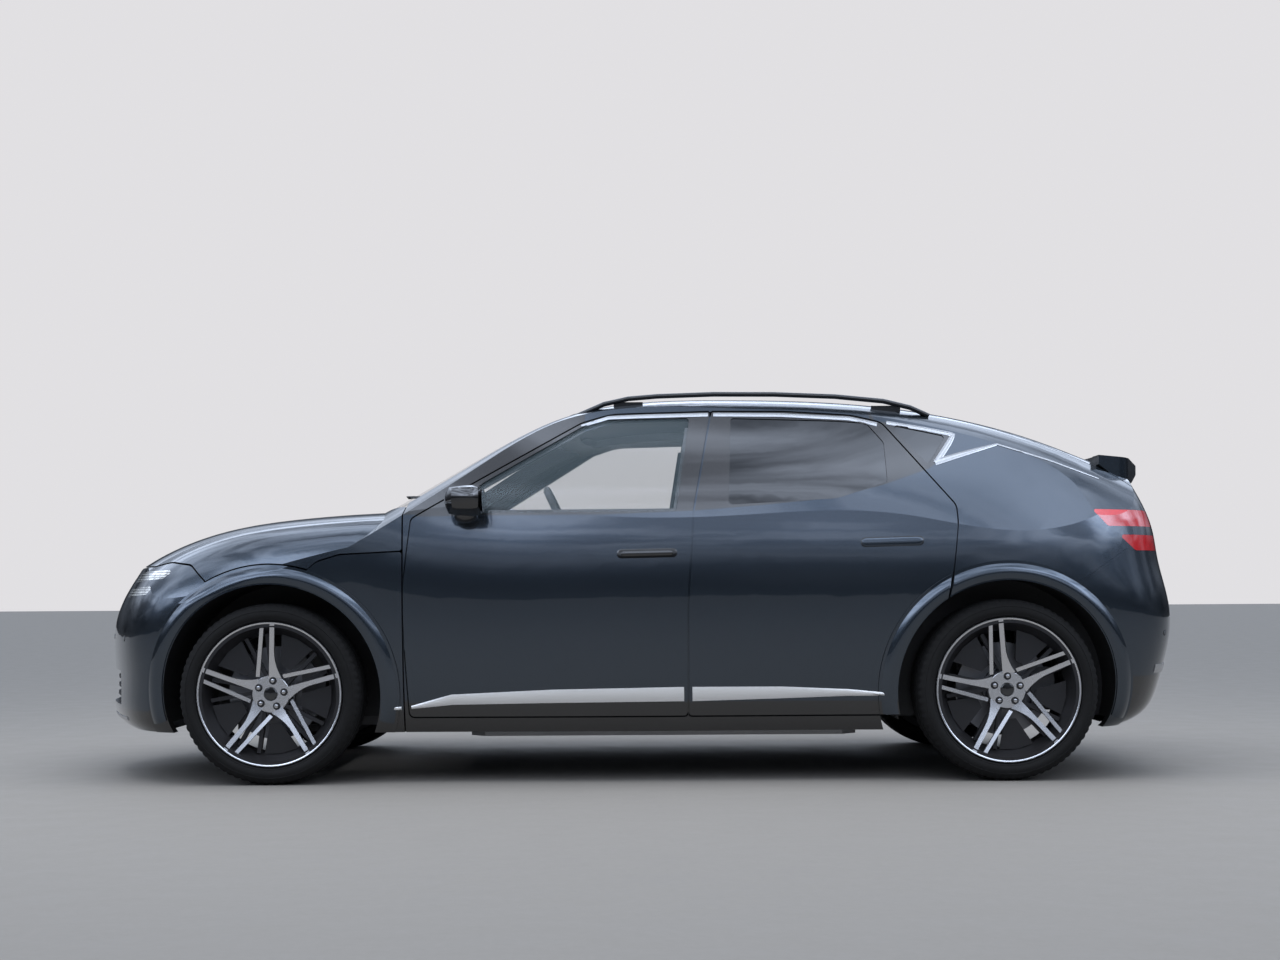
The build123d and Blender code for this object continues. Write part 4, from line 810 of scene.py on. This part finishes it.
rows = []
for i in range(TRAY_STEPS + 1):
    y = -TRAY_HALF + 2 * TRAY_HALF * i / TRAY_STEPS
    edge = screen_edge(y)
    tray = 1.050 - 0.095 * y * y
    profile = [(1.125, tray), (edge + 0.035, tray), (edge + 0.004, 1.098 - 0.004 * abs(y)),
               (edge - 0.05, 1.112)]
    outline = profile + [(x, z - TRAY_WALL) for x, z in reversed(profile)]
    rows.append([(x, y, z) for x, z in outline])
bm = bmesh.new()
joined(bm, rows)
add_piece("cowl_tray", bm, "body", grained_black)
screen_skin = skin("windscreen")
bm = bmesh.new()
for root_y, tip_y in WIPER_SPANS:
    rings = []
    for i in range(WIPER_STEPS + 1):
        share = i / WIPER_STEPS
        y = root_y + (tip_y - root_y) * share
        x = screen_edge(y) - 0.045 - 0.05 * share
        hit, normal, _ = met(screen_skin, Vector((x, y, 2.0)), Vector((0, 0, -1)))
        if hit:
            rings.append([hit + normal * rise + Vector((shift, 0, 0)) for shift, rise in WIPER_SECTION])
    joined(bm, rings)
add_piece("wipers", bm, "body", grained_black)

# Front compartment cover: a ribbed black moulding lies under the hood over the drive unit.
# It follows the hood's inner face with room for it to shut, and its skirt hides the gap round it.
COVER_REAR, COVER_LONG, COVER_ROWS = 1.14, 0.66, 28
COVER_HALF, COVER_COLUMNS = 0.60, 32
HOOD_ROOM, RIB_DEPTH = 0.034, 0.008
SIDE_SKIRT, END_SKIRT = Vector((0, 0, 0.16)), Vector((0, 0, 0.12))
hood_skin = skin("hood")
rows = []
for i in range(COVER_ROWS + 1):
    x = COVER_REAR + COVER_LONG * i / COVER_ROWS
    row = []
    for k in range(COVER_COLUMNS + 1):
        y = -COVER_HALF + 2 * COVER_HALF * k / COVER_COLUMNS
        hit = met(hood_skin, Vector((x, y, 0.70)), Vector((0, 0, 1)))[0]
        ribbed = 6 < k < 26 and k % 4 < 2 and 3 < i < 25
        row.append(Vector((x, y, hit.z - HOOD_ROOM - (RIB_DEPTH if ribbed else 0.0))))
    rows.append([row[0] - SIDE_SKIRT] + row + [row[-1] - SIDE_SKIRT])
rows = [[p - END_SKIRT for p in rows[0]]] + rows + [[p - END_SKIRT for p in rows[-1]]]
bm = bmesh.new()
grid = [[bm.verts.new(p) for p in row] for row in rows]
for a, b in zip(grid, grid[1:]):
    for k in range(len(a) - 1):
        bm.faces.new((a[k], a[k + 1], b[k + 1], b[k]))
cover = add_piece("front_compartment_cover", bm, "body", grained_black)
sheet = cover.modifiers.new("sheet", "SOLIDIFY")
sheet.thickness = 0.003
sheet.offset = 0.0

# Seats: leather-covered foam with rounded pads and head restraints on posts.
# Cushion, back and head restraint are one upholstered form each side, with a bench behind.
leather = material("leather", (0.045, 0.045, 0.047), 0.5, grain=0.2, bump=0.6, bump_size=900.0)
PAD_QUADS = ((0, 1, 2, 3), (7, 6, 5, 4), (0, 4, 5, 1), (1, 5, 6, 2), (2, 6, 7, 3), (3, 7, 4, 0))
PAD_CUTS = 11
SEAT_Y = 0.37


def pad(bm, x, y, z, lean=0.0, crown=(0.0, 0.0, 0.0)):
    """Closed crowned cushion over a box whose top leans back, subdivided and swollen from its middle."""
    others = set(bm.verts)
    verts = [bm.verts.new((x[i] - shift, y[j], level)) for level, shift in ((z[0], 0.0), (z[1], lean))
             for i, j in ((0, 0), (1, 0), (1, 1), (0, 1))]
    faces = [bm.faces.new([verts[i] for i in quad]) for quad in PAD_QUADS]
    middle = sum((v.co for v in verts), Vector()) / 8
    bmesh.ops.subdivide_edges(bm, edges=list({edge for face in faces for edge in face.edges}),
                              cuts=PAD_CUTS, use_grid_fill=True, smooth=0.0)
    grown = [v for v in bm.verts if v not in others]
    spans = [max(abs((v.co - middle)[i]) for v in grown) for i in range(3)]
    for v in grown:
        u = [(v.co[i] - middle[i]) / spans[i] for i in range(3)]
        for i in range(3):
            j, k = (i + 1) % 3, (i + 2) % 3
            pull = (1 - u[j] ** 4 * 0.5) * (1 - u[k] ** 4 * 0.5)
            swell = crown[i] * u[i] * (1 - u[j] ** 2) * (1 - u[k] ** 2)
            v.co[i] = middle[i] + u[i] * spans[i] * (0.90 + 0.10 * pull) + swell


for side, sign in SIDES:
    y = sign * SEAT_Y
    bm = bmesh.new()
    pad(bm, (-0.40, 0.14), (y - 0.25, y + 0.25), (0.50, 0.615), crown=(0.0, 0.0, 0.02))
    pad(bm, (-0.455, -0.335), (y - 0.245, y + 0.245), (0.60, 1.12), lean=0.13, crown=(0.02, 0.0, 0.01))
    pad(bm, (-0.585, -0.49), (y - 0.12, y + 0.12), (1.16, 1.31), lean=0.01, crown=(0.01, 0.0, 0.005))
    pad(bm, (-0.37, 0.05), (y - 0.18, y + 0.18), (0.34, 0.505))
    for post in (-0.06, 0.06):
        bmesh.ops.create_cone(bm, cap_ends=True, segments=12, radius1=0.006, radius2=0.006, depth=0.12,
                              matrix=Matrix.Translation((-0.5325, y + post, 1.13)))
    seat = add_piece(f"front_seat_{side}", bm, "body", leather)
    if side == "left":
        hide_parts("front_seats")
bm = bmesh.new()
pad(bm, (-1.03, -0.555), (-0.61, 0.61), (0.495, 0.60), crown=(0.0, 0.0, 0.015))
pad(bm, (-1.09, -0.99), (-0.61, 0.61), (0.58, 1.10), lean=0.14, crown=(0.015, 0.0, 0.01))
bench = add_piece("rear_bench", bm, "body", leather)
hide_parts("rear_seat")

low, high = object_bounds()
